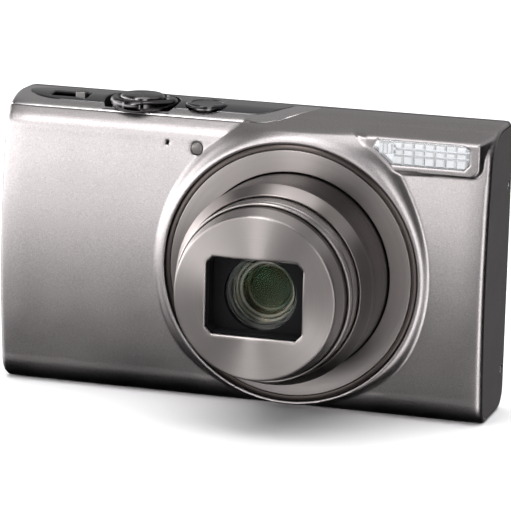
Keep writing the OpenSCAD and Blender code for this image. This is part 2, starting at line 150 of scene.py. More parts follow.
unseen_in_metal(panel_light("floor_light", (0, 0.2, 1.2), (0, 0.2, 0), (2.2, 2.0), 38))
unseen_in_metal(panel_light("fill", (-0.6, -1.0, 0.7), (0, 0, 0.03), (0.8, 0.8), 5))
panel_light("glint", (-0.35, -0.75, 0.75), (0, 0, 0.04), (0.12, 0.12), 0.5)

# %% [markdown]
# ## What the metal sees
# Polished things are lit by what they mirror, so a photographer hangs white and black cards round
# them. Here the cards are soft patches of brightness in a sky that only mirrored rays and rays
# through glass see: a ramp that is dark low down and bright at eye level, a white patch overhead
# for the top band, and upright strips for the rounded edges. Every other ray sees a plain pale sky.

# %% Reflected cards
world = bpy.data.worlds.new("studio")
world.use_nodes = True
scene.world = world
sky = world.node_tree
sky.nodes.clear()
look = sky.nodes.new("ShaderNodeTexCoord").outputs["Generated"]


def toward(azimuth, elevation):
    """A direction: azimuth 0 is in front of the camera's lens, 90 on its right."""
    a, e = math.radians(azimuth), math.radians(elevation)
    return Vector((math.sin(a) * math.cos(e), -math.cos(a) * math.cos(e), math.sin(e)))


def facing(azimuth, elevation):
    """How far the sky's direction leans towards a given one: the cosine of the angle between."""
    near = sky.nodes.new("ShaderNodeVectorMath")
    near.operation = "DOT_PRODUCT"
    near.inputs[1].default_value = toward(azimuth, elevation)
    sky.links.new(look, near.inputs[0])
    return near.outputs["Value"]


def soft_step(value, start, end, first, last):
    """Goes smoothly from first to last while value goes from start to end."""
    fade = sky.nodes.new("ShaderNodeMapRange")
    fade.interpolation_type = "SMOOTHSTEP"
    fade.inputs["From Min"].default_value = start
    fade.inputs["From Max"].default_value = end
    fade.inputs["To Min"].default_value = first
    fade.inputs["To Max"].default_value = last
    sky.links.new(value, fade.inputs["Value"])
    return fade.outputs["Result"]


def card(azimuth, elevation, inner, outer, strength):
    """A round soft patch of sky, full inside the inner angle and nothing past the outer one."""
    outer_cos, inner_cos = math.cos(math.radians(outer)), math.cos(math.radians(inner))
    return soft_step(facing(azimuth, elevation), outer_cos, inner_cos, 0.0, strength)


def join(operation, a, b):
    node = sky.nodes.new("ShaderNodeMath")
    node.operation = operation
    sky.links.new(a, node.inputs[0])
    sky.links.new(b, node.inputs[1])
    return node.outputs[0]


height = sky.nodes.new("ShaderNodeSeparateXYZ")
sky.links.new(look, height.inputs[0])
rise = sky.nodes.new("ShaderNodeMapRange")
rise.inputs["From Min"].default_value = -1
sky.links.new(height.outputs["Z"], rise.inputs["Value"])
ramp = sky.nodes.new("ShaderNodeValToRGB")
sky.links.new(rise.outputs["Result"], ramp.inputs["Fac"])
ramp.color_ramp.interpolation = "B_SPLINE"
# Brightness of the sky by height in degrees. A colour ramp stops at 1, so it is scaled afterwards.
GRADIENT = [(-60, 0.0), (-28, 0.0), (-20, 0.06), (-14, 0.3), (-8, 1.05), (-2, 2.5), (5, 4.0), (12, 3.8),
            (20, 0.5), (30, 0.06), (60, 0.05)]
BRIGHTEST = 4
for i, (angle, brightness) in enumerate(GRADIENT):
    position = (math.sin(math.radians(angle)) + 1) / 2
    stop = ramp.color_ramp.elements[i] if i < 2 else ramp.color_ramp.elements.new(position)
    stop.position = position
    stop.color = (*[brightness / BRIGHTEST] * 3, 1)
scale = sky.nodes.new("ShaderNodeMath")
scale.operation = "MULTIPLY"
scale.inputs[1].default_value = BRIGHTEST
sky.links.new(ramp.outputs["Color"], scale.inputs[0])


def strip(azimuth, inner, outer, foot, head, strength):
    """An upright band of sky round one azimuth, between two heights."""
    aside = sky.nodes.new("ShaderNodeMath")
    aside.operation = "ABSOLUTE"
    sky.links.new(facing(azimuth + 90, 0), aside.inputs[0])
    half = (head - foot) / 2
    patch = card(azimuth, (foot + head) / 2, half - 6, half + 6, strength)
    inner_sin, outer_sin = math.sin(math.radians(inner)), math.sin(math.radians(outer))
    return join("MULTIPLY", patch, soft_step(aside.outputs[0], inner_sin, outer_sin, 1.0, 0.0))


mirrored = join("MULTIPLY", scale.outputs[0], card(-72, 0, 32, 84, 1.0))
CARDS = ((0, 84, 14, 26, 1.9), (190, 35, 20, 50, 0.3), (-85, 20, 8, 26, 0.8),
         (110, 55, 10, 35, 0.5), (155, -5, 18, 40, 0.22))
STRIPS = ((30, 5, 15, -45, 30, 3.0), (-17, 3, 9, 26, 60, 6.0), (-95, 6, 18, -30, 40, 1.2))
for row in CARDS:
    mirrored = join("ADD", mirrored, card(*row))
for row in STRIPS:
    mirrored = join("ADD", mirrored, strip(*row))
print("sky:", len(CARDS), "cards and", len(STRIPS), "strips")

# %% Which rays see which sky
seen = sky.nodes.new("ShaderNodeBackground")
plain_sky = sky.nodes.new("ShaderNodeBackground")
sky.links.new(mirrored, seen.inputs["Strength"])
seen.inputs["Color"].default_value = (1.0, 0.985, 0.985, 1)
plain_sky.inputs["Color"].default_value = (0.9, 0.9, 0.92, 1)
plain_sky.inputs["Strength"].default_value = 0.5
rays = sky.nodes.new("ShaderNodeLightPath")
choose = sky.nodes.new("ShaderNodeMixShader")
either = join("MAXIMUM", rays.outputs["Is Glossy Ray"], rays.outputs["Is Transmission Ray"])
sky.links.new(either, choose.inputs[0])
sky.links.new(plain_sky.outputs[0], choose.inputs[1])
sky.links.new(seen.outputs[0], choose.inputs[2])
sky.links.new(choose.outputs[0], sky.nodes.new("ShaderNodeOutputWorld").inputs["Surface"])

# %% [markdown]
# ## Finishes
# Each finish is one node material. The patterns read Object coordinates, which are the camera's
# own axes in metres, so a scale of 4000 makes cells of a quarter of a millimetre.

# %% Material helpers
finishes = {}


def new_finish(name, color, metallic=0.0, roughness=0.4, **extra):
    """A Principled material; extra sets further sockets by name."""
    material = bpy.data.materials.new(name)
    material.use_nodes = True
    shader = material.node_tree.nodes["Principled BSDF"]
    shader.inputs["Base Color"].default_value = (*color, 1)
    shader.inputs["Metallic"].default_value = metallic
    shader.inputs["Roughness"].default_value = roughness
    for socket, value in extra.items():
        shader.inputs[socket.replace("_", " ")].default_value = value
    finishes[name] = material
    return material, material.node_tree, shader


def add(tree, kind, **settings):
    node = tree.nodes.new(kind)
    for key, value in settings.items():
        if key in node.inputs.keys():
            node.inputs[key].default_value = value
        else:
            setattr(node, key, value)
    return node


def grain_vector(tree, scale):
    """Object coordinates stretched by a scale on each axis."""
    coordinates = add(tree, "ShaderNodeTexCoord")
    mapping = add(tree, "ShaderNodeMapping")
    mapping.inputs["Scale"].default_value = scale
    tree.links.new(coordinates.outputs["Object"], mapping.inputs["Vector"])
    return mapping.outputs["Vector"]


def noise(tree, vector, detail=2.0, rough=0.5):
    node = add(tree, "ShaderNodeTexNoise")
    node.inputs["Scale"].default_value = 1
    node.inputs["Detail"].default_value = detail
    node.inputs["Roughness"].default_value = rough
    tree.links.new(vector, node.inputs["Vector"])
    return node.outputs["Fac"]


def spread(tree, value, low, high):
    """Maps a 0 to 1 pattern onto a range."""
    node = add(tree, "ShaderNodeMapRange")
    node.inputs["From Min"].default_value = 0.25
    node.inputs["From Max"].default_value = 0.75
    node.inputs["To Min"].default_value = low
    node.inputs["To Max"].default_value = high
    tree.links.new(value, node.inputs["Value"])
    return node.outputs["Result"]


def bump(tree, shader, height, distance):
    node = add(tree, "ShaderNodeBump")
    node.inputs["Distance"].default_value = distance
    node.inputs["Strength"].default_value = 1
    tree.links.new(height, node.inputs["Height"])
    tree.links.new(node.outputs["Normal"], shader.inputs["Normal"])


def two_tone(tree, value, dark, light):
    ramp = add(tree, "ShaderNodeMix", data_type="RGBA")
    ramp.inputs[6].default_value = (*dark, 1)
    ramp.inputs[7].default_value = (*light, 1)
    tree.links.new(value, ramp.inputs[0])
    return ramp.outputs[2]


def times(color, k):
    return tuple(min(1, c * k) for c in color)


# %% Painted, moulded and brushed finishes
def grained(name, color, metallic, roughness, cell=0.25, depth=0.01, vary=0.12, stretch=(1, 1, 1), **extra):
    """A surface with a fine grain: cell is its size and depth its height, in millimetres."""
    material, tree, shader = new_finish(name, color, metallic, roughness, **extra)
    fine = noise(tree, grain_vector(tree, [1000 / cell * s for s in stretch]), 3, 0.6)
    broad = noise(tree, grain_vector(tree, [60 * s for s in stretch]), 3, 0.55)
    grain = two_tone(tree, fine, times(color, 1 - vary), times(color, 1 + vary))
    tree.links.new(grain, shader.inputs["Base Color"])
    tree.links.new(spread(tree, broad, roughness - 0.04, roughness + 0.05), shader.inputs["Roughness"])
    bump(tree, shader, fine, depth * MM)
    return material


def spun(name, color, roughness, groove=0.12, depth=0.004, anisotropic=0.9, axis="lens"):
    """Metal turned on a lathe: grooves run round the axis, so light fans out across them.

    Highlights stretch along the tangent, which runs round the axis, so a quarter turn is added.
    """
    material, tree, shader = new_finish(name, color, 1.0, roughness, Anisotropic=anisotropic,
                                        Anisotropic_Rotation=0.25)
    centre, direction = {"lens": ((LENS_X * MM, 0, LENS_Z * MM), (0, 1, 0)),
                         "lever": (LEVER_CENTRE, (0, 0, 1))}[axis]
    coordinates = add(tree, "ShaderNodeTexCoord")
    offset = add(tree, "ShaderNodeVectorMath", operation="SUBTRACT")
    offset.inputs[1].default_value = centre
    tree.links.new(coordinates.outputs["Object"], offset.inputs[0])
    flat = add(tree, "ShaderNodeVectorMath", operation="MULTIPLY")
    flat.inputs[1].default_value = tuple(1 - d for d in direction)
    tree.links.new(offset.outputs[0], flat.inputs[0])
    around = add(tree, "ShaderNodeVectorMath", operation="CROSS_PRODUCT")
    around.inputs[1].default_value = direction
    tree.links.new(flat.outputs[0], around.inputs[0])
    tangent = add(tree, "ShaderNodeVectorMath", operation="NORMALIZE")
    tree.links.new(around.outputs[0], tangent.inputs[0])
    tree.links.new(tangent.outputs[0], shader.inputs["Tangent"])
    radius = add(tree, "ShaderNodeVectorMath", operation="LENGTH")
    tree.links.new(flat.outputs[0], radius.inputs[0])
    along = add(tree, "ShaderNodeVectorMath", operation="DOT_PRODUCT")
    along.inputs[1].default_value = direction
    tree.links.new(offset.outputs[0], along.inputs[0])
    joined = add(tree, "ShaderNodeCombineXYZ")
    tree.links.new(radius.outputs["Value"], joined.inputs[0])
    tree.links.new(along.outputs["Value"], joined.inputs[1])
    scaled = add(tree, "ShaderNodeVectorMath", operation="SCALE")
    scaled.inputs["Scale"].default_value = 1000 / groove
    tree.links.new(joined.outputs[0], scaled.inputs[0])
    grooves = noise(tree, scaled.outputs[0], 2, 0.5)
    tint = two_tone(tree, grooves, times(color, 0.86), times(color, 1.1))
    tree.links.new(tint, shader.inputs["Base Color"])
    tree.links.new(spread(tree, grooves, roughness - 0.05, roughness + 0.06), shader.inputs["Roughness"])
    bump(tree, shader, grooves, depth * MM)
    return material


lever_low, lever_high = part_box("shutter_button")
LEVER_CENTRE = tuple((lever_low + lever_high) / 2)

grained("front_metal", (0.52, 0.492, 0.495), 1.0, 0.34, cell=0.24, depth=0.02, vary=0.42)
grained("top_band", (0.74, 0.72, 0.72), 1.0, 0.24, cell=0.15, depth=0.002, vary=0.05, stretch=(0.05, 1, 1))
grained("panel_gloss", (0.018, 0.018, 0.02), 0.0, 0.12, cell=0.3, depth=0.0008, vary=0.3, Coat_Weight=0.5)
grained("rear_shell", (0.085, 0.08, 0.083), 0.55, 0.42, cell=0.18, depth=0.012, vary=0.25)
# side_satin is the front's silver grey made darker: its darkness is painted shade on the sides, which face
# away from the light.
grained("side_satin", (0.13, 0.118, 0.12), 0.75, 0.4, cell=0.24, depth=0.02, vary=0.45)
grained("flap_rubber", (0.045, 0.044, 0.045), 0.0, 0.62, cell=0.25, depth=0.02, vary=0.15)
grained("bright_steel", (0.62, 0.62, 0.63), 1.0, 0.24, cell=0.2, depth=0.003, vary=0.08)
grained("frame_steel", (0.5, 0.5, 0.51), 1.0, 0.35, cell=0.3, depth=0.004, vary=0.1, stretch=(0.1, 1, 1))
grained("black_plastic", (0.009, 0.009, 0.01), 0.0, 0.45, cell=0.2, depth=0.004, vary=0.3,
        Specular_IOR_Level=0.08)
grained("blade_black", (0.02, 0.02, 0.021), 0.6, 0.4, cell=0.2, depth=0.004, vary=0.2)
grained("gear_plastic", (0.2, 0.2, 0.21), 0.0, 0.45, cell=0.3, depth=0.008)
grained("pinion_brass", (0.6, 0.43, 0.18), 1.0, 0.3, cell=0.3, depth=0.004)
grained("motor_steel", (0.42, 0.42, 0.43), 1.0, 0.3, cell=0.3, depth=0.004, stretch=(1, 0.1, 1))
grained("reflector_bright", (0.85, 0.85, 0.87), 1.0, 0.1, cell=0.4, depth=0.004, vary=0.04)
grained("lamp_plastic", (0.16, 0.15, 0.145), 0.0, 0.22, cell=0.4, depth=0.004, Coat_Weight=0.6)
grained("black_can", (0.03, 0.03, 0.035), 0.0, 0.28, cell=0.4, depth=0.004)
grained("microphone_metal", (0.4, 0.4, 0.4), 1.0, 0.4, cell=0.2, depth=0.01)
grained("lever_metal", (0.11, 0.106, 0.11), 1.0, 0.16, cell=0.2, depth=0.002, vary=0.08)
grained("power_metal", (0.26, 0.25, 0.25), 1.0, 0.28, cell=0.15, depth=0.004, vary=0.1, stretch=(0.1, 1, 1))
grained("display_glass", (0.012, 0.012, 0.014), 0.0, 0.06, cell=0.6, depth=0.0004, vary=0.2, Coat_Weight=1.0)
grained("display_grey", (0.16, 0.18, 0.2), 0.0, 0.3, cell=0.3, depth=0.002)
grained("key_plastic", (0.085, 0.082, 0.085), 0.2, 0.34, cell=0.18, depth=0.006, vary=0.18)
grained("board_green", (0.03, 0.14, 0.06), 0.0, 0.35, cell=0.8, depth=0.01, vary=0.3)
grained("battery_wrap", (0.11, 0.12, 0.15), 0.0, 0.5, cell=0.3, depth=0.006)
grained("latch_orange", (0.75, 0.28, 0.04), 0.0, 0.4, cell=0.3, depth=0.006)
grained("card_blue", (0.03, 0.06, 0.22), 0.0, 0.4, cell=0.3, depth=0.006)
grained("baffle_black", (0.03, 0.03, 0.028), 0.3, 0.25, cell=0.15, depth=0.002, vary=0.3)
spun("lens_silver", (0.45, 0.42, 0.41), 0.34, anisotropic=0.95)
spun("barrel_metal", (0.42, 0.385, 0.375), 0.32, anisotropic=0.9)
# barrel_flank is barrel_metal's turned metal made darker: its darkness is painted shade on the flank of the
# outer barrel.
spun("barrel_flank", (0.13, 0.118, 0.115), 0.3, anisotropic=0.3)
spun("barrel_dark", (0.16, 0.145, 0.14), 0.34)
spun("barrel_silver", (0.5, 0.47, 0.46), 0.28)
spun("band_dark", (0.13, 0.112, 0.105), 0.34)
spun("button_metal", (0.2, 0.195, 0.195), 0.22, axis="lever")
print("finishes:", len(finishes))


# %% Glass finishes
def coated_glass(name, reflected, ior):
    """Clear glass whose anti-reflection film leaves a weak coloured reflection."""
    _, tree, shader = new_finish(name, (0.96, 0.98, 0.96), 0.0, 0.02, Transmission_Weight=1.0, IOR=ior,
                                 Specular_Tint=(*reflected, 1))
    wipe = noise(tree, grain_vector(tree, [90, 90, 90]), 4, 0.6)
    tree.links.new(spread(tree, wipe, 0.01, 0.03), shader.inputs["Roughness"])


coated_glass("coated_glass", (0.25, 1.0, 0.55), 1.1)
coated_glass("second_glass", (1.0, 0.62, 0.2), 1.14)
coated_glass("third_glass", (0.3, 0.9, 0.7), 1.16)
_, clear_tree, clear_shader = new_finish("clear_plastic", (0.97, 0.98, 1.0), 0.0, 0.05,
                                         Transmission_Weight=0.85, IOR=1.49)
flow = noise(clear_tree, grain_vector(clear_tree, [900, 900, 900]), 2, 0.5)
bump(clear_tree, clear_shader, flow, 0.01 * MM)
clear_tree.links.new(spread(clear_tree, flow, 0.03, 0.1), clear_shader.inputs["Roughness"])

_, prism_tree, prism_shader = new_finish("prism_clear", (0.96, 0.97, 0.96), 0.1, 0.15, IOR=1.49,
                                         Coat_Weight=0.6)
cut = noise(prism_tree, grain_vector(prism_tree, [700, 700, 700]), 2, 0.5)
facets = two_tone(prism_tree, cut, (0.84, 0.87, 0.86), (1, 1, 1))
prism_tree.links.new(facets, prism_shader.inputs["Base Color"])
bump(prism_tree, prism_shader, cut, 0.02 * MM)

# %% [markdown]
# ## The floor
# A plain pale sheet, much larger than the view.

# %% Floor
floor_mesh = bpy.data.meshes.new("floor")
floor_mesh.from_pydata([(-4, -3, 0), (4, -3, 0), (4, 6, 0), (-4, 6, 0)], [], [(0, 1, 2, 3)])
floor = bpy.data.objects.new("floor", floor_mesh)
scene.collection.objects.link(floor)
floor_finish = grained("floor_paper", (0.86, 0.86, 0.865), 0.0, 0.7, cell=0.8, depth=0.01, vary=0.01)
floor_mesh.materials.append(floor_finish)
floor.visible_glossy = False


# %% [markdown]
# ## Turning points into pieces
# Every new piece goes through one function, which makes the mesh in metres, smooths it except at
# sharp corners, and ties it to its body, its finish and the CAD node that it stands for.

# %% Piece helper
def make_piece(name, verts, faces, finish, body, replaces=(), sharp=38, orient=False):
    mesh = bpy.data.meshes.new(name)
    places = [tuple(v) for v in np.asarray(verts, float) * MM]
    mesh.from_pydata(places, [], [tuple(int(i) for i in f) for f in faces])
    work = bmesh.new()
    work.from_mesh(mesh)
    bmesh.ops.remove_doubles(work, verts=work.verts, dist=1e-7)
    bmesh.ops.dissolve_degenerate(work, edges=work.edges, dist=1e-7)
    if orient:
        bmesh.ops.recalc_face_normals(work, faces=work.faces)
    work.to_mesh(mesh)
    work.free()
    mesh.polygons.foreach_set("use_smooth", [True] * len(mesh.polygons))
    mesh.set_sharp_from_angle(angle=math.radians(sharp))
    piece = bpy.data.objects.new(name, mesh)
    scene.collection.objects.link(piece)
    mesh.materials.append(finishes[finish])
    settle(piece, body, replaces)
    return piece


def settle(piece, body, replaces=()):
    """Ties a piece to the body that carries it and to the CAD nodes that it stands for."""
    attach(piece, body)
    for node in replaces:
        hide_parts(node)
    print(piece.name, len(piece.data.polygons), "faces on", body)


# %% [markdown]
# ## The side profile
# All the covers are bent round one outline, seen from the side: a gently bowed front, a large soft
# shoulder over the top and rounded edges at the base and back. A point on a cover has two
# coordinates, like a place on a wrapped sheet: u across the camera, and s along the outline.

# %% Outline of the body
BULGE = 2.2
LOW_Z, HIGH_Z = 5.0, 51.5


def face_y(z):
    return FRONT_Y + BULGE * ((z - 26) / 27) ** 2


def arc(centre, a, b, start, end, steps):
    t = np.radians(np.linspace(start, end, steps))
    return np.stack([centre[0] + a * np.cos(t), centre[1] + b * np.sin(t)], 1)


def side_outline():
    low_c, high_c, low_a = (-4.3, LOW_Z), (1.5, HIGH_Z), -4.3 - face_y(LOW_Z)
    z = np.linspace(LOW_Z, HIGH_Z, 200)
    points = np.concatenate([
        [(-3.0, 0.0)],
        arc(low_c, low_a, LOW_Z, 270, 180, 90),
        np.stack([face_y(z), z], 1)[1:],
        arc(high_c, high_c[0] - face_y(HIGH_Z), BODY_H - HIGH_Z, 180, 90, 120)[1:],
        arc((BACK_Y - 3.5, BODY_H - 3.5), 3.5, 3.5, 90, 0, 60),
        arc((BACK_Y - 4.5, 4.5), 4.5, 4.5, 0, -90, 60),
        arc(low_c, low_a, LOW_Z, 270, 262, 8),
    ])
    lengths = np.concatenate([[0], np.cumsum(np.hypot(*np.diff(points, axis=0).T))])
    even = np.arange(0, lengths[-1], 0.1)
    return np.stack([np.interp(even, lengths, points[:, k]) for k in (0, 1)], 1), even


OUTLINE, OUTLINE_S = side_outline()
tangent = np.gradient(OUTLINE, OUTLINE_S, axis=0)
OUTLINE_N = np.stack([-tangent[:, 1], tangent[:, 0]], 1)
for _ in range(8):
    OUTLINE_N[1:-1] = (OUTLINE_N[:-2] + 2 * OUTLINE_N[1:-1] + OUTLINE_N[2:]) / 4
OUTLINE_N /= np.hypot(*OUTLINE_N.T)[:, None]
CROWN = int(np.argmax(OUTLINE[:, 1] > BODY_H - 0.001))
HEEL = len(OUTLINE) - 1 - int(np.argmax(OUTLINE[::-1, 1] > 0.3))


def s_front(z):
    """s on the front and shoulder at height z."""
    return np.interp(z, OUTLINE[:CROWN, 1], OUTLINE_S[:CROWN])


def s_top(y):
    """s on the shoulder and top at depth y."""
    middle = CROWN - 60
    return np.interp(y, OUTLINE[middle:CROWN + 90, 0], OUTLINE_S[middle:CROWN + 90])


def s_back(z):
    """s on the back at height z."""
    return np.interp(-z, -OUTLINE[CROWN:HEEL, 1], OUTLINE_S[CROWN:HEEL])


def s_base(y):
    """s on the base at depth y, reached from the back."""
    return np.interp(-y, -OUTLINE[HEEL:, 0], OUTLINE_S[HEEL:])


EDGE_R = 1.0
U_END = END_X - EDGE_R + EDGE_R * math.pi / 2
print("outline", round(OUTLINE_S[-1], 1), "mm round; u to", round(U_END, 2))


def on_body(uv):
    """Places on the body, and the directions straight out of it, for (u, s) pairs."""
    u, s = uv[:, 0], uv[:, 1]
    y, z = (np.interp(s, OUTLINE_S, OUTLINE[:, k]) for k in (0, 1))
    ny, nz = (np.interp(s, OUTLINE_S, OUTLINE_N[:, k]) for k in (0, 1))
    turn = np.clip((np.abs(u) - (END_X - EDGE_R)) / EDGE_R, 0, math.pi / 2)
    inset = EDGE_R * (1 - np.cos(turn))
    x = np.sign(u) * (np.minimum(np.abs(u), END_X - EDGE_R) + EDGE_R * np.sin(turn))
    out = np.stack([np.sign(u) * np.sin(turn), ny * np.cos(turn), nz * np.cos(turn)], 1)
    return np.stack([x, y - ny * inset, z - nz * inset], 1), out

# %% [markdown]
# ## Covering a region with a skin
# A cover is a sheet with holes: it could be cut with booleans, but those leave long thin faces that
# shade badly round every hole. Instead the region is filled with points, close together near the
# edges, and joined by a Delaunay triangulation that keeps the edges. The sheet is then laid on the
# body, its rim is rolled over a little, and an inner wall closes it.


# %% Skin helper
def split(loop, step):
    """A closed loop with points no further apart than step."""
    loop = np.asarray(loop, float)
    points = []
    for a, b in zip(loop, np.roll(loop, -1, 0)):
        count = max(1, int(math.ceil(np.hypot(*(b - a)) / step)))
        points += [a + (b - a) * k / count for k in range(count)]
    return np.array(points)


def inside(points, loop):
    """Which points lie inside a closed loop."""
    x, y = points[:, :1], points[:, 1:2]
    a, b = loop, np.roll(loop, -1, 0)
    rise = np.where(b[:, 1] == a[:, 1], 1e-12, b[:, 1] - a[:, 1])
    edge_x = (b[:, 0] - a[:, 0]) * (y - a[:, 1]) / rise + a[:, 0]
    crossed = ((a[:, 1] > y) != (b[:, 1] > y)) & (x < edge_x)
    return crossed.sum(1) % 2 == 1


def edge_distance(points, loops):
    """Distance from each point to the nearest loop."""
    a = np.concatenate(loops)
    b = np.concatenate([np.roll(loop, -1, 0) for loop in loops])
    ab = b - a
    length2 = np.maximum((ab ** 2).sum(1), 1e-12)
    nearest = np.empty(len(points))
    for i in range(0, len(points), 1500):
        ap = points[i:i + 1500, None] - a
        t = np.clip((ap * ab).sum(2) / length2, 0, 1)
        nearest[i:i + 1500] = np.sqrt(((ap - t[..., None] * ab) ** 2).sum(2).min(1))
    return nearest


def lattice(low, high, step):
    """A staggered grid of points over a rectangle."""
    rows = []
    for k, v in enumerate(np.arange(low[1], high[1] + step, step * 0.866)):
        u = np.arange(low[0] + (k % 2) * step / 2, high[0] + step, step)
        rows.append(np.stack([u, np.full(len(u), v)], 1))
    return np.concatenate(rows)


def skin(name, outline, holes, place, finish, body, node, wall=0.8, grid=0.8, fine=None, fine_grid=0.3,
         roll=0.12, edge=0.4, sharp=38, straight_back=None):
    """A closed sheet over a region of (u, s), laid on a surface by place()."""
    loops = [split(loop, edge) for loop in [outline, *holes]]
    low, high = loops[0].min(0), loops[0].max(0)
    seeds = [lattice(low, high, grid)]
    if fine is not None:
        seeds[0] = seeds[0][~fine(seeds[0])]
        close = lattice(low, high, fine_grid)
        seeds.append(close[fine(close)])
    rim = []
    for loop in loops:
        along = np.roll(loop, -1, 0) - np.roll(loop, 1, 0)
        side = np.stack([-along[:, 1], along[:, 0]], 1) / np.maximum(np.hypot(*along.T)[:, None], 1e-9)
        rim += [loop + side * d * k for d in (0.07, 0.16, 0.3) for k in (-1, 1)]
    rim, seeds = np.concatenate(rim), np.concatenate(seeds)

    def kept(points, gap):
        points = points[inside(points, loops[0])]
        for loop in loops[1:]:
            points = points[~inside(points, loop)]
        return points[edge_distance(points, loops) > gap]

    points = np.concatenate([*loops, kept(rim, 0.05), kept(seeds, 0.42)])
    edges, start = [], 0
    for loop in loops:
        edges += [(start + i, start + (i + 1) % len(loop)) for i in range(len(loop))]
        start += len(loop)
    flat, _, triangles, *_ = delaunay_2d_cdt([Vector(p) for p in points], edges, [], 0, 1e-5)
    uv = np.array([tuple(v) for v in flat])
    triangles = np.array(triangles)
    middle = uv[triangles].mean(1)
    keep = inside(middle, loops[0])
    for loop in loops[1:]:
        keep &= ~inside(middle, loop)
    a, b, c = (uv[triangles[:, k]] for k in range(3))
    area = (b[:, 0] - a[:, 0]) * (c[:, 1] - a[:, 1]) - (b[:, 1] - a[:, 1]) * (c[:, 0] - a[:, 0])
    triangles[area < 0] = triangles[area < 0][:, ::-1]
    triangles = triangles[keep & (np.abs(area) > 1e-7)]
    used = np.unique(triangles)
    renumber = np.zeros(len(uv), int)
    renumber[used] = np.arange(len(used))
    uv, triangles = uv[used], renumber[triangles]
    place_out, out = place(uv)
    d = edge_distance(uv, loops)
    outer = place_out - out * (roll * np.clip(1 - d / 0.3, 0, 1) ** 2)[:, None]
    inward = -out if straight_back is None else np.where(straight_back(uv)[:, None], (0, 1, 0), -out)
    inner = place_out + inward * wall
    count = len(uv)
    pairs = {}
    for t in triangles:
        for i in range(3):
            pairs[(t[i], t[(i + 1) % 3])] = True
    rim_edges = [(i, j) for i, j in pairs if (j, i) not in pairs]
    faces = [tuple(t) for t in triangles] + [tuple(t[::-1] + count) for t in triangles]
    faces += [(j, i, i + count, j + count) for i, j in rim_edges]
    return make_piece(name, np.concatenate([outer, inner]), faces, finish, body, (node,),
                      sharp=sharp)


def circle(centre, r, count=None):
    t = np.linspace(0, 2 * math.pi, count or max(24, int(r * 16)), endpoint=False)
    return np.stack([centre[0] + r * np.cos(t), centre[1] + r * np.sin(t)], 1)


def rectangle(low, high):
    return np.array([low, (high[0], low[1]), high, (low[0], high[1])], float)


def from_front(points):
    """(x, z) points on the front as (u, s)."""
    points = np.asarray(points, float)
    return np.stack([points[:, 0], s_front(points[:, 1])], 1)


def from_top(points):
    """(x, y) points on the top as (u, s)."""
    points = np.asarray(points, float)
    return np.stack([points[:, 0], s_top(points[:, 1])], 1)


def from_back(points):
    """(x, z) points on the back as (u, s)."""
    points = np.asarray(points, float)
    return np.stack([points[:, 0], s_back(points[:, 1])], 1)


def from_base(points):
    """(x, y) points on the base as (u, s)."""
    points = np.asarray(points, float)
    return np.stack([points[:, 0], s_base(points[:, 1])], 1)

# %% [markdown]
# ## The front cover
# It is one pressed metal sheet. Its seam with the top band runs along the shoulder and then curls
# back beside the lens. Two things rise from it: a flare that sweeps up to the bright lip round the
# lens, and the soft-edged block that frames the flash. Both are heights measured straight forward,
# joined to the sheet by a smooth maximum, which gives the blended fillet of a pressed part. They
# fade out over the shoulder, so the top edge stays straight and the seam stays flush.

# %% Front cover
SEAM_Z = 55.9
LIP_R = 25.7
LIP_OUT = 10.85
FADE_Z, FADE_Y = 55.2, -3.35
FLASH_OUTLINE = np.array([[26.6, 53.5], [27.4, 55.3], [44.4, 55.3], [45.5, 54.4], [45.5, 51.6],
                          [44.4, 50.5], [30.2, 50.5]])
lamp_low, lamp_high = node_box("af_lamp_lens")
LAMP = ((lamp_low.x + lamp_high.x) / 2, (lamp_low.z + lamp_high.z) / 2)
MIC = tuple((node_box("microphone")[0] + node_box("microphone")[1]) / 2)[::2]


def curl(grow):
    """The seam beside the lens, where the top band ends in a curve."""
    return arc((2, 6), 10 + grow, 11.5 + grow, -70, -3, 24)


def seam_corner(grow):
    """The soft corner between the straight seam and its curl."""
    t = np.linspace(0, 1, 24)[:-1, None]
    start, turn = from_front([(-5, SEAM_Z - grow), (3.6, SEAM_Z - grow)])
    return start * (1 - t) ** 2 + 2 * turn * t * (1 - t) + from_top(curl(grow))[0] * t ** 2


def smooth_max(a, b, k):
    h = np.clip(0.5 + 0.5 * (a - b) / k, 0, 1)
    return b * (1 - h) + a * h + k * h * (1 - h)


def lip_height(x, z):
    r = np.hypot(x - LENS_X, z - LENS_Z)
    below = np.clip((LENS_Z - z) / np.maximum(r, 1e-6), 0, 1) ** 8
    to_flash = np.exp(-((np.degrees(np.arctan2(z - LENS_Z, x - LENS_X)) - 56) / 20) ** 2)
    fall = 0.35 - 0.17 * to_flash + 4 * below
    return LIP_OUT - fall * np.maximum(r - 26, 0) ** 1.8


def block_height(x, z):
    """The frame round the flash, which tapers away towards the lens."""
    middle, half, corner = np.array([36.2, 53.0]), np.array([11.2, 3.6]), 1.6
    q = np.abs(np.stack([x - middle[0], z - middle[1]])) - (half - corner)[:, None]
    d = np.hypot(*np.maximum(q, 0)) + np.minimum(q.max(0), 0) - corner
    crisp = np.clip((x - 27) / 12, 0, 1)
    return 9.05 - (0.35 + 1.3 * crisp) * np.maximum(d, 0) ** 1.3


def on_front(uv):
    """Places on the body with the flare and the flash block raised out of it."""
    place, out = on_body(uv)
    x, y, z = place.T
    y = y + 0.3 * np.clip((np.abs(x) - (END_X - 5)) / 5, 0, 1) ** 2
    forward = smooth_max(-y, lip_height(x, z), 0.5)
    raised = smooth_max(forward, block_height(x, z), 0.35)
    low, high = s_front(FADE_Z), s_top(FADE_Y)
    past = np.clip((uv[:, 1] - low) / (high - low), 0, 1)
    lift = np.maximum(raised + y, 0) * (1 - past * past * (3 - 2 * past))
    place[:, 1] = np.where(np.abs(x) < END_X - 0.2, y - lift, y)
    return place, out


def lens_distance(uv):
    z = np.interp(uv[:, 1], OUTLINE_S, OUTLINE[:, 1])
    return np.hypot(uv[:, 0] - LENS_X, z - LENS_Z)


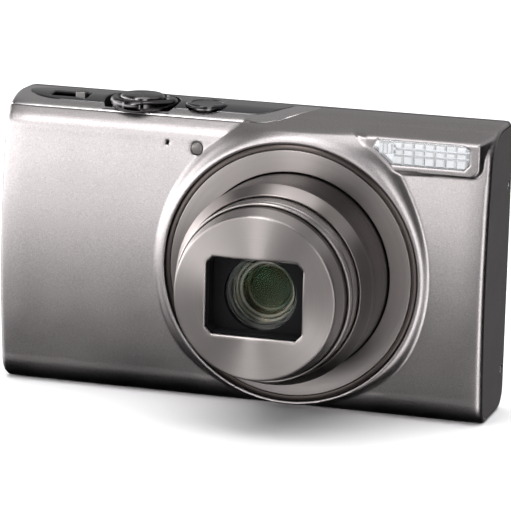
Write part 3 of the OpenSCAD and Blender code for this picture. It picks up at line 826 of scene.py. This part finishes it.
def near_front_details(uv):
    x, s = uv.T
    z = np.interp(s, OUTLINE_S, OUTLINE[:, 1])
    block = (x > 23) & (x < 49) & (z > 48) & (z < 57.5)
    return ((lens_distance(uv) < 30) | block) & (s < OUTLINE_S[CROWN])


def beside_lens(uv):
    """Where the inner wall goes straight back, so the flare's bore has no thin slivers."""
    return (lens_distance(uv) < 31) & (uv[:, 1] < s_front(SEAM_Z))


front_outline = np.concatenate([
    from_front([(-U_END, 0.03)]),
    [(U_END, s_front(0.03))],
    [(U_END, s_top(TOP_SEAM_Y))],
    from_top(curl(0.1)[::-1]),
    seam_corner(0.1)[::-1],
    from_front([(-U_END, SEAM_Z - 0.1)]),
])
front_holes = [
    from_front(circle((LENS_X, LENS_Z), LIP_R, 420)),
    from_front(FLASH_OUTLINE + np.where(FLASH_OUTLINE > [36, 53], 0.08, -0.08)),
    from_front(circle(LAMP, 1.3)),
    from_front(circle(MIC, 0.4)),
]
skin("front_skin", front_outline, front_holes, on_front, "front_metal", "camera_body", "front_cover",
     fine=near_front_details, straight_back=beside_lens)

# %% [markdown]
# ## The top band and its dark panel
# The bright band is what is left of the top once the dark glossy panel is let into it. Both are cut
# round the well that the zoom lever turns in.

# %% Top band and panel
power_low, power_high = node_box("power_button")
button_low, button_high = node_box("shutter_button")
LEVER = ((button_low.x + button_high.x) / 2, (button_low.y + button_high.y) / 2)
POWER = ((power_low.x + power_high.x) / 2, (power_low.y + power_high.y) / 2)
WELL_R = 7.6
MODE_SLOT = ((-42.2, -1.8), (-34.6, 1.0))


def panel_outline(grow):
    return np.concatenate([
        [(-40, -3.2 - grow), (0, -3.2 - grow)],
        arc((0, 5), 6.5 + grow, 8.2 + grow, -80, 0, 16),
        arc((-40, 0.9), 7.4 + grow, 4.1 + grow, 90, 270, 32)[:-1]])


well = from_top(circle(LEVER, WELL_R, 160))
band_outline = np.concatenate([
    from_front([(-U_END, SEAM_Z)]), seam_corner(0), from_top(curl(0)),
    [(-U_END, s_top(TOP_SEAM_Y))]])
skin("top_band_skin", band_outline, [from_top(panel_outline(0.08)), well], on_front, "top_band",
     "camera_body", "top_cover", grid=0.6, wall=0.6,
     fine=lambda uv: (uv[:, 0] > -10) & (uv[:, 1] < s_top(-2)), fine_grid=0.25)
panel_holes = [well, from_top(circle(POWER, 4.1)), from_top(rectangle(*MODE_SLOT))]
skin("panel_skin", from_top(panel_outline(0)), panel_holes, on_body, "panel_gloss", "camera_body",
     "control_panel", grid=0.6, wall=0.5, roll=0.18)

# %% [markdown]
# ## The back shell
# One deep pressing wraps from the top seam over the back and under the base to the front seam. The
# same sheet method is used, with openings for the display, the keys, the door and the strap.

# %% Back shell
display_low, display_high = node_box("display_window")
pad_low, pad_high = node_box("control_pad")
PAD = ((pad_low.x + pad_high.x) / 2, (pad_low.z + pad_high.z) / 2)
KEYS = {}
for key in ("movie_button", "playback_button", "link_button", "menu_button"):
    key_low, key_high = node_box(key)
    KEYS[key] = ((key_low.x + key_high.x) / 2, (key_low.z + key_high.z) / 2)
KEY_R = (key_high.x - key_low.x) / 2
PAD_R = (pad_high.x - pad_low.x) / 2
STRAP = (11, 19)
SCREW_X = (-9, 22, 44)
TRIPOD_X = 30
back_outline = np.concatenate([
    [(-U_END, s_top(TOP_SEAM_Y + 0.1)), (-U_END, s_back(STRAP[1])), (-46.2, s_back(STRAP[1])),
     (-46.2, s_back(STRAP[0])), (-U_END, s_back(STRAP[0])), (-U_END, s_base(5.55)), (-14.8, s_base(5.55)),
     (-14.8, s_base(SEAM_Y + 0.1)), (U_END, s_base(SEAM_Y + 0.1)), (U_END, s_top(TOP_SEAM_Y + 0.1))]])
back_holes = [
    well,
    from_back(rectangle((display_low.x - 0.1, display_low.z - 0.1),
                        (display_high.x + 0.1, display_high.z + 0.1))),
    from_back(circle(PAD, PAD_R + 0.3)),
    *[from_back(circle(at, KEY_R + 0.15)) for at in KEYS.values()],
    from_base(circle((TRIPOD_X, 0), 4.3)),
    *[from_base(circle((x, 2), 1.45)) for x in SCREW_X],
]
skin("back_skin", back_outline[::-1], back_holes, on_body, "rear_shell", "camera_body", "rear_cover",
     grid=1.2, edge=0.6)

# %% [markdown]
# ## Turned parts
# Everything round on a camera starts as a profile spun about an axis. The profile's corners get
# small fillets first, because a real edge always catches a thread of light.

# %% Lathe helper
def fillet(points, radius, steps=4):
    """A closed profile with its corners rounded; corners on the axis stay sharp."""
    points = np.asarray(points, float)
    rounded = []
    for before, corner, after in zip(np.roll(points, 1, 0), points, np.roll(points, -1, 0)):
        if corner[0] == 0:
            rounded.append(corner)
            continue
        a, b = before - corner, after - corner
        cut = min(radius, 0.45 * np.hypot(*a), 0.45 * np.hypot(*b))
        p, q = corner + a / np.hypot(*a) * cut, corner + b / np.hypot(*b) * cut
        for t in np.linspace(0, 1, steps + 1):
            rounded.append((1 - t) ** 2 * p + 2 * t * (1 - t) * corner + t * t * q)
    return np.array(rounded)


def ring_mesh(rings):
    """Faces that join closed rings of points, the last ring to the first."""
    rings = np.asarray(rings)
    n, m = rings.shape[:2]
    i, j = np.meshgrid(np.arange(n), np.arange(m), indexing="ij")
    k, l = (i + 1) % n, (j + 1) % m
    faces = np.stack([i * m + j, i * m + l, k * m + l, k * m + j], -1).reshape(-1, 4)
    return rings.reshape(-1, 3), faces


def lathe(name, profile, finish, body, nodes=(), centre=(LENS_X, LENS_Z), axis="y", rounding=0.12,
          segments=192, sharp=28):
    """Spins a closed profile of (radius, position along the axis) points."""
    profile = fillet(profile, rounding)
    t = np.linspace(0, 2 * math.pi, segments, endpoint=False)
    r, along = profile[:, :1], np.repeat(profile[:, 1:2], segments, 1)
    a, b = centre[0] + r * np.cos(t), centre[1] + r * np.sin(t)
    verts, faces = ring_mesh(np.stack((a, along, b) if axis == "y" else (a, b, along), -1))
    return make_piece(name, verts, faces, finish, body, nodes,
                      sharp=sharp, orient=True)

# %% [markdown]
# ## Rings round the lens
# A brushed silver ring closes the gap between the cover and the barrel, with a darker band outside
# it. They sit a little below the lip, so the lip keeps its own bright edge.

# %% Lens ring and band
lathe("lens_ring_turned", [(20.1, -10.3), (24.35, -10.6), (24.35, -9.3), (20.1, -9.3)], "lens_silver",
      "camera_body", ("lens_ring",), rounding=0.14)
lathe("band_turned", [(24.45, -10.5), (25.05, -10.5), (25.6, -10.2), (25.6, -6.2), (24.45, -6.2)],
      "band_dark", "camera_body", ("lens_ring_band",), rounding=0.2)
lathe("mouth_seal", [(19.95, -9.12), (22.6, -9.3), (22.6, -8.95), (19.95, -8.9)], "flap_rubber",
      "camera_body", rounding=0.1)

# %% [markdown]
# ## The three barrels
# The barrels slide out of each other. The outer one ends in a broad bevel that shows the fan of
# light of turned metal, the middle one in a rounded bead, and the front one carries the plate.

# %% Barrels
outer_profile = [(17.75, -23.7), (18.05, -24), (19.75, -21.3), (19.8, -7.3), (20.5, -7.3), (20.5, -6),
                 (18.7, -6), (18.7, -22.8), (17.75, -22.8)]
outer_barrel = lathe("barrel_outer_turned", outer_profile, "barrel_metal", "barrel_outer", ("barrel_outer",),
                     rounding=0.16)


def repaint(piece, finish, chosen):
    """Gives a second finish to the faces whose middles, in millimetres, pass a test."""
    piece.data.materials.append(finishes[finish])
    for face in piece.data.polygons:
        if chosen(face.center / MM):
            face.material_index = len(piece.data.materials) - 1


# The flank takes the darker copy of the barrel's metal, which is painted shade.
repaint(outer_barrel, "barrel_flank", lambda at: at.y > -21.1)
middle_profile = [(16.95, -28.6), (16.98, -28.95), (17.45, -28.95), (17.5, -28.2), (17.32, -27.6),
                  (17.32, -27.2), (17.5, -27.0), (17.5, -12.9), (18.5, -12.9), (18.5, -12), (16.95, -12)]
lathe("barrel_middle_turned", middle_profile, "barrel_silver", "barrel_middle", ("barrel_middle",),
      rounding=0.2)
lathe("barrel_front_turned", [(15.9, -30.4), (16.75, -30.4), (16.75, -19), (15.9, -19)], "barrel_dark",
      "barrel_front", ("barrel_front",), rounding=0.08)

# %% [markdown]
# ## The front plate
# A spun disc with a conical flank and a rectangular window with cut corners. It is made with the
# skin helper, laid on a height that depends only on the distance from the axis.

# %% Front plate
WINDOW = (19.2, 15.0, 1.3)


def window_outline(w, h, cut):
    w, h = w / 2, h / 2
    corners = [(w, -h + cut), (w, h - cut), (w - cut, h), (-w + cut, h), (-w, h - cut), (-w, -h + cut),
               (-w + cut, -h), (w - cut, -h)]
    return np.array(corners) + (LENS_X, LENS_Z)


PLATE_R = [0, 8, 15.5, 15.68, 15.83, 15.96, 16.7]
PLATE_Y = [-34.4, -34.4, -34.1, -34.07, -33.98, -33.8, -30.62]


def on_plate(uv):
    """A flat middle, a slight cone, a rounded rim and a conical flank."""
    y = np.interp(np.hypot(uv[:, 0] - LENS_X, uv[:, 1] - LENS_Z), PLATE_R, PLATE_Y)
    out = np.zeros((len(uv), 3))
    out[:, 1] = -1
    return np.stack([uv[:, 0], y, uv[:, 1]], 1), out


skin("front_plate_spun", circle((LENS_X, LENS_Z), PLATE_R[-1], 260), [window_outline(*WINDOW)], on_plate,
     "lens_silver", "barrel_front", "front_plate", wall=0.6, grid=0.7, edge=0.4, roll=0.14, sharp=50,
     fine=lambda uv: np.hypot(uv[:, 0] - LENS_X, uv[:, 1] - LENS_Z) > 15.3, fine_grid=0.16)

# %% [markdown]
# ## Behind the window
# A black holder with a sunken rectangular pocket carries the front glass. Behind the glass stand
# stepped baffles and two more elements: each has its own coating, which is what gives a lens its
# green, amber and magenta reflections.

# %% Softened copies of CAD parts
def bake(piece):
    """Turns a piece and its modifiers into a plain mesh."""
    baked = bpy.data.meshes.new_from_object(piece.evaluated_get(bpy.context.evaluated_depsgraph_get()))
    piece.modifiers.clear()
    piece.data = baked
    return baked


def softened(node, width=0.25, segments=3, name=None):
    """A copy of a CAD part with its flat faces joined and its edges rounded."""
    mesh = frame["nodes"][node].data.copy()
    work = bmesh.new()
    work.from_mesh(mesh)
    bmesh.ops.remove_doubles(work, verts=work.verts, dist=1e-7)
    bmesh.ops.dissolve_limit(work, angle_limit=math.radians(1), verts=work.verts, edges=work.edges)
    work.to_mesh(mesh)
    work.free()
    piece = bpy.data.objects.new(name or node + "_softened", mesh)
    scene.collection.objects.link(piece)
    bevel = piece.modifiers.new("bevel", "BEVEL")
    bevel.width, bevel.segments = width * MM, segments
    bevel.limit_method, bevel.angle_limit = "ANGLE", math.radians(30)
    bevel.harden_normals = False
    baked = bake(piece)
    baked.polygons.foreach_set("use_smooth", [True] * len(baked.polygons))
    baked.set_sharp_from_angle(angle=math.radians(40))
    weigh = piece.modifiers.new("normals", "WEIGHTED_NORMAL")
    weigh.keep_sharp = True
    baked = bake(piece)
    baked.materials.clear()
    baked.materials.append(finishes[slot_of(node)])
    settle(piece, body_of(node), (node,))
    return piece


softened("front_lens_holder", 0.12, 2, name="lens_holder_softened")


def sag(steps, curve):
    """How far a sphere falls away from its middle; no radius of curvature means a flat face."""
    if not curve:
        return np.zeros_like(steps)
    return np.sign(curve) * (abs(curve) - np.sqrt(curve ** 2 - steps ** 2))


def glass_element(name, finish, r, front, back, front_sphere, back_sphere=None, nodes=(),
                  body="barrel_front"):
    """A lens with spherical faces; a radius of curvature below zero makes a hollow face."""
    steps = np.linspace(0, r, 26)

    face = [(q, front + s) for q, s in zip(steps, sag(steps, front_sphere))]
    rear = [(q, back - s) for q, s in zip(steps, sag(steps, back_sphere))][::-1]
    return lathe(name, face + rear, finish, body, nodes, rounding=0.02,
                 segments=128, sharp=35)


glass_element("front_glass", "coated_glass", 7.1, -30.0, -27.4, 20, None, ("front_lens",))
glass_element("second_element", "second_glass", 6.0, -26.6, -25.2, -24, 16)
glass_element("third_element", "third_glass", 4.6, -24.6, -23.2, 11, 14)
baffles = [(7.15, -27.3), (6.4, -27.25), (6.3, -26.9), (6.15, -26.9), (6.1, -25.0), (5.6, -24.95),
           (5.5, -24.7), (4.8, -24.65), (4.7, -23.0), (3.9, -22.95), (3.8, -22.6), (2.3, -22.5),
           (2.3, -21.9), (0, -21.9), (0, -21.5), (7.15, -21.5)]
lathe("lens_baffles", baffles, "baffle_black", "barrel_front", rounding=0.06,
      segments=128)
RETAINING = ((6.95, 6.5, -27.42), (6.1, 5.75, -25.12), (5.3, 4.95, -24.85), (4.4, 4.1, -23.1))
for number, (outer, inner, at_y) in enumerate(RETAINING):
    section = [(outer, at_y), (inner, at_y), (inner - 0.05, at_y + 0.12), (outer, at_y + 0.12)]
    lathe(f"retaining_ring_{number}", section, "barrel_dark" if number else "baffle_black", "barrel_front",
          rounding=0.04, segments=128)
glass_element("rear_glass", "second_glass", 7.35, 2.4, 4.0, -68, -68, ("rear_lens",), body="rear_lens")

# %% [markdown]
# ## Repeated details with Geometry Nodes
# Prisms, ribs and dots repeat by a rule, so a node tree lays them out: a grid or circle of points
# with one small shape on each. The tree's sizes are named inputs. Each result is baked to a plain
# mesh, because an export drops instances.

# %% Geometry Nodes helper
def pattern(name, finish, build, sizes):
    """Runs build(tree, inputs) as a Geometry Nodes modifier with named sizes, then bakes it."""
    tree = bpy.data.node_groups.new(name, "GeometryNodeTree")
    tree.interface.new_socket("Geometry", in_out="OUTPUT", socket_type="NodeSocketGeometry")
    kinds = {int: "NodeSocketInt", float: "NodeSocketFloat"}
    sockets = {key: tree.interface.new_socket(key, in_out="INPUT", socket_type=kinds[type(value)])
               for key, value in sizes.items()}
    entry = tree.nodes.new("NodeGroupInput")
    leave = tree.nodes.new("NodeGroupOutput")
    paint = tree.nodes.new("GeometryNodeSetMaterial")
    paint.inputs["Material"].default_value = finishes[finish]
    realize = tree.nodes.new("GeometryNodeRealizeInstances")
    tree.links.new(build(tree, entry.outputs), realize.inputs["Geometry"])
    tree.links.new(realize.outputs["Geometry"], paint.inputs["Geometry"])
    tree.links.new(paint.outputs["Geometry"], leave.inputs[0])
    piece = bpy.data.objects.new(name, bpy.data.meshes.new(name))
    scene.collection.objects.link(piece)
    modifier = piece.modifiers.new("pattern", "NODES")
    modifier.node_group = tree
    for key, value in sizes.items():
        modifier[sockets[key].identifier] = value
    bake(piece)
    return piece


def place_mesh(piece, move, finish, body):
    """Moves a baked pattern into place inside its mesh, and ties it to its body."""
    co = np.empty(len(piece.data.vertices) * 3)
    piece.data.vertices.foreach_get("co", co)
    piece.data.vertices.foreach_set("co", np.asarray(move(co.reshape(-1, 3) / MM), float).ravel() * MM)
    piece.data.materials.clear()
    piece.data.materials.append(finishes[finish])
    piece.data.polygons.foreach_set("use_smooth", [True] * len(piece.data.polygons))
    piece.data.set_sharp_from_angle(angle=math.radians(30))
    piece.data.update()
    settle(piece, body)
    return piece


GRID_INPUTS = (("Size X", "Span X"), ("Size Y", "Span Y"), ("Vertices X", "Columns"), ("Vertices Y", "Rows"))


def point_grid(tree, inputs):
    grid = tree.nodes.new("GeometryNodeMeshGrid")
    for socket, key in GRID_INPUTS:
        tree.links.new(inputs[key], grid.inputs[socket])
    return grid.outputs["Mesh"]


def put_on(tree, points, shape):
    """The same shape on every point."""
    put = tree.nodes.new("GeometryNodeInstanceOnPoints")
    tree.links.new(points, put.inputs["Points"])
    tree.links.new(shape, put.inputs["Instance"])
    return put.outputs["Instances"]


def blocks_on_grid(tree, inputs):
    """Bevel-sided blocks: a grid of points, each with a four-sided cone frustum."""
    unit = tree.nodes.new("GeometryNodeMeshCone")
    unit.inputs["Vertices"].default_value = 4
    for socket, key in (("Radius Top", "Top"), ("Radius Bottom", "Foot"), ("Depth", "Depth")):
        tree.links.new(inputs[key], unit.inputs[socket])
    size = tree.nodes.new("ShaderNodeCombineXYZ")
    size.inputs[0].default_value = size.inputs[2].default_value = 1
    tree.links.new(inputs["Stretch"], size.inputs[1])
    turn = tree.nodes.new("GeometryNodeTransform")
    turn.inputs["Rotation"].default_value = (0, 0, math.pi / 4)
    tree.links.new(unit.outputs["Mesh"], turn.inputs["Geometry"])
    shape = tree.nodes.new("GeometryNodeTransform")
    tree.links.new(turn.outputs["Geometry"], shape.inputs["Geometry"])
    tree.links.new(size.outputs[0], shape.inputs["Scale"])
    return put_on(tree, point_grid(tree, inputs), shape.outputs["Geometry"])


def face_front(middle, y):
    """Turns a pattern made in X and Y, with +Z up, to face forward at a place."""
    return lambda co: np.stack([middle[0] + co[:, 0], y - co[:, 2], middle[1] + co[:, 1]], 1)

# %% [markdown]
# ## The flash
# The window is clear moulded plastic whose inner face is cut into prisms that spread the flash.
# Behind it a polished trough reflects the tube's light.

# %% Flash
def flat_front(y):
    def place(uv):
        out = np.zeros((len(uv), 3))
        out[:, 1] = -1
        return np.stack([uv[:, 0], np.full(len(uv), y), uv[:, 1]], 1), out
    return place


skin("flash_pane", FLASH_OUTLINE, [], flat_front(-9.2), "clear_plastic", "camera_body", "flash_window",
     wall=0.45, grid=0.9, roll=0.15)
PRISM_ROWS = (("flash_prisms_top", 7, (37.6, 54.35), 12.6, 0.55),
              ("flash_prisms_middle", 7, (37.6, 53.05), 12.6, 0.5),
              ("flash_prisms_low", 7, (37.6, 51.5), 12.6, 0.85),
              ("flash_ribs_left", 4, (29.3, 53.6), 2.6, 1.15))
for label, columns, middle, span, stretch in PRISM_ROWS:
    pitch = span / (columns - 1)
    prisms = pattern(label, "prism_clear", blocks_on_grid, {
        "Span X": span * MM, "Span Y": 0.0, "Columns": columns, "Rows": 1, "Top": 0.5 * pitch * MM,
        "Foot": 0.66 * pitch * MM, "Depth": 0.5 * MM, "Stretch": stretch * 2.1 / pitch})
    place_mesh(prisms, face_front(middle, -8.3), "prism_clear", "camera_body")
trough = FLASH_OUTLINE.mean(0) + (FLASH_OUTLINE - FLASH_OUTLINE.mean(0)) * 0.985
skin("flash_backing", trough, [], flat_front(-8.0), "reflector_bright", "camera_body", "flash_window",
     wall=0.3, grid=1.0, roll=0.0)

# %% [markdown]
# ## Lamp, lever and buttons
# The zoom lever is a ring with a pointed finger tip. It is lofted: every ring of points follows the
# same outline, drawn in and raised step by step, so the side bulges and the top dips to the button.

# %% Zoom lever
LEVER_R, TIP_R = 6.5, 7.3


def lever_reach(t):
    """Distance from the lever's axis to its edge, by angle, and the height of its finger tab."""
    ahead = np.clip(np.cos(t), 0, 1)
    point = ahead ** 6
    tab = 0.3 / (1 + np.exp((np.abs(LEVER_R * np.cos(t)) - 1.9) / 0.12)) * (np.sin(t) < 0)
    return LEVER_R + (TIP_R - LEVER_R) * point - 0.25 * ahead ** 1.5 * (1 - point) * 2, tab


# Each row: follows the outline or is round, inset or radius, height, share of the finger tab.
LEVER_ROWS = [(0, 1.3, 54.1, 0), (0, 3.6, 54.1, 0), (0, 3.6, 56.0, 0), (1, -1.7, 56.0, 0),
              (1, -0.75, 56.12, 0.2), (1, -0.25, 56.5, 0.8), (1, -0.04, 57.0, 1), (1, 0.0, 57.4, 1),
              (1, -0.1, 57.9, 1), (1, -0.3, 58.2, 0.9), (1, -0.55, 58.4, 0.5), (1, -0.85, 58.48, 0.1),
              (1, -1.15, 58.46, 0), (0, 5.15, 58.1, 0), (0, 5.0, 58.02, 0), (0, 4.82, 57.9, 0),
              (0, 4.8, 57.7, 0), (0, 4.8, 56.6, 0), (0, 1.3, 56.6, 0)]


def lever_rings():
    t = np.linspace(0, 2 * math.pi, 288, endpoint=False)
    reach, tab = lever_reach(t)
    rings = []
    for follows, size, z, out in LEVER_ROWS:
        r = reach + size + tab * out if follows else np.full_like(t, size)
        rings.append(np.stack([LEVER[0] + r * np.cos(t), LEVER[1] + r * np.sin(t), np.full_like(t, z)], 1))
    return ring_mesh(rings)


verts, faces = lever_rings()
make_piece("zoom_lever_lofted", verts, faces, "lever_metal", "zoom_lever", ("zoom_lever",),
           sharp=35, orient=True)

# %% Shutter button, power button and lamp
shutter_profile = [(0, 59.12), (2.2, 59.15), (3.9, 59.05), (4.4, 58.7), (4.5, 58.3), (4.4, 58.0),
                   (1.2, 58.0), (1.2, 53.2), (0, 53.2)]
lathe("shutter_button_turned", shutter_profile, "button_metal", "shutter_button", ("shutter_button",),
      centre=LEVER, axis="z", rounding=0.25, segments=128)
power_profile = [(0, 58.0), (2.2, 58.02), (2.7, 58.15), (3.0, 58.05), (3.0, 55), (1, 55), (1, 53.1),
                 (0, 53.1)]
lathe("power_button_turned", power_profile, "power_metal", "power_button", ("power_button",),
      centre=POWER, axis="z", rounding=0.12, segments=128)
collar_profile = [(3.1, 57.5), (3.1, 58.12), (3.3, 58.26), (3.9, 58.26), (4.2, 57.98), (4.2, 57.5)]
lathe("power_collar", collar_profile, "panel_gloss", "camera_body", ("control_panel",), centre=POWER,
      axis="z", rounding=0.1, segments=128)
lamp_profile = [(0, -8.45), (0.5, -8.42), (0.95, -8.3), (1.2, -8.05), (1.2, -6.4), (0, -6.4)]
lathe("af_lamp_domed", lamp_profile, "lamp_plastic", "camera_body", ("af_lamp_lens",), centre=LAMP,
      rounding=0.15, segments=64)
softened("mode_switch", 0.2, 3)

# %% Lever well
def lever_well():
    """The floor and wall of the well, kept inside the shoulder of the body."""
    t = np.linspace(0, 2 * math.pi, 160, endpoint=False)
    rings = []
    for r, z in ((3.65, 54.9), (3.65, 55.65), (7.5, 55.65), (7.6, 57.4), (8.3, 57.4), (8.3, 54.9)):
        x, y = LEVER[0] + r * np.cos(t), np.clip(LEVER[1] + r * np.sin(t), -5.15, 8.5)
        surface = np.interp(y, OUTLINE[CROWN - 60:CROWN + 90, 0], OUTLINE[CROWN - 60:CROWN + 90, 1])
        rings.append(np.stack([x, y, np.minimum(z, surface - 0.3)], 1))
    return ring_mesh(rings)


verts, faces = lever_well()
make_piece("lever_well", verts, faces, "black_plastic", "camera_body", ("top_cover",),
           sharp=30, orient=True)

# %% [markdown]
# ## The sides, the door, the display window and the base parts are simple in outline, so each is a copy of its CAD part with its edges rounded; the keys and the pad are turned.
# These parts are simple in outline, so each is a copy of its CAD part with its edges rounded.

# %% Sides, back and base
softened("side_cover_right", 0.3, 3)
softened("side_cover_left", 0.3, 3)
softened("terminal_cover", 0.3, 3)
softened("battery_door", 0.25, 3)
softened("strap_bar", 0.1, 2)
softened("display_window", 0.25, 3)
softened("tripod_socket", 0.15, 2)
softened("cover_screws", 0.1, 2)

# %% Lining of the strap notch
notch = [(-49.2, 6.95), (-46.25, 6.95), (-46.25, 10.3), (-46.4, 10.3), (-46.4, 7.1), (-49.2, 7.1)]
lining_verts = [(x, y, z) for z in (STRAP[0] + 0.02, STRAP[1] - 0.02) for x, y in notch]
lining_faces = [(i, (i + 1) % 6, 6 + (i + 1) % 6, 6 + i) for i in range(6)]
lining_faces += [(5, 4, 1, 0), (4, 3, 2, 1), (6, 7, 10, 11), (7, 8, 9, 10)]
make_piece("strap_notch_lining", lining_verts, lining_faces, "flap_rubber", "camera_body", sharp=30,
           orient=True)

# %% Keys, pad and set button
KEY_PROFILE = [(0, 10.38), (1.6, 10.36), (2.2, 10.25), (KEY_R, 9.95), (KEY_R, 8.0), (0, 8.0)]
for key, at in KEYS.items():
    lathe(key + "_domed", KEY_PROFILE, "key_plastic", key, (key,), centre=at, rounding=0.2, segments=96)
pad_profile = [(4.75, 10.1), (5.2, 10.42), (6.2, 10.5), (8.4, 10.5), (9.2, 10.25), (PAD_R, 9.8),
               (PAD_R, 9.15), (4.75, 9.15)]
lathe("control_pad_turned", pad_profile, "key_plastic", "control_pad", ("control_pad",), centre=PAD,
      rounding=0.3)
set_profile = [(0, 10.6), (2.6, 10.55), (3.8, 10.4), (4.3, 10.0), (4.3, 8.2), (0, 8.2)]
lathe("set_button_domed", set_profile, "key_plastic", "set_button", ("set_button",), centre=PAD,
      rounding=0.25, segments=128)

# %% [markdown]
# ## Dots to feel
# Four dots on the pad and a patch of them above it tell the thumb where it is. They repeat by a
# rule, so they are patterns too: one on a circle, one on a grid, both made of the same low dome.

# %% Dots on the pad and the grip
def dot(tree, inputs):
    ball = tree.nodes.new("GeometryNodeMeshUVSphere")
    ball.inputs["Segments"].default_value = 12
    ball.inputs["Rings"].default_value = 8
    tree.links.new(inputs["Dot"], ball.inputs["Radius"])
    return ball.outputs["Mesh"]


def dots_on_circle(tree, inputs):
    """Low domes round a circle."""
    ring = tree.nodes.new("GeometryNodeMeshCircle")
    tree.links.new(inputs["Count"], ring.inputs["Vertices"])
    tree.links.new(inputs["Radius"], ring.inputs["Radius"])
    return put_on(tree, ring.outputs["Mesh"], dot(tree, inputs))


def dots_on_grid(tree, inputs):
    """Low domes on a grid, for a thumb to grip."""
    return put_on(tree, point_grid(tree, inputs), dot(tree, inputs))


def face_back(middle, y):
    """Turns a pattern made in X and Y to face backward, and flattens it a little."""
    return lambda co: np.stack([middle[0] + co[:, 0], y + co[:, 2] * 0.6, middle[1] + co[:, 1]], 1)


pad_dots = pattern("pad_dots", "key_plastic", dots_on_circle,
                   {"Count": 4, "Radius": 7.3 * MM, "Dot": 0.45 * MM})
place_mesh(pad_dots, face_back(PAD, 10.31), "key_plastic", "control_pad")
thumb_dots = pattern("thumb_dots", "rear_shell", dots_on_grid,
                     {"Span X": 7.5 * MM, "Span Y": 6.0 * MM, "Columns": 6, "Rows": 5, "Dot": 0.45 * MM})
place_mesh(thumb_dots, face_back((-41, 48), BACK_Y - 0.05), "rear_shell", "camera_body")

# %% [markdown]
# ## Finishes on the parts inside
# The CAD parts that no piece replaces keep their shape. Each one only takes a better finish, set in
# its object's material slots, so its mesh isn't touched.

# %% Finishes on the parts inside
shown = {n for n in frame["nodes"] if not frame["nodes"][n].hide_render}
for node in sorted(shown):
    for place in frame["nodes"][node].material_slots:
        place.material = finishes[slot_of(node)]
print("CAD parts shown with a better finish:", len(shown))
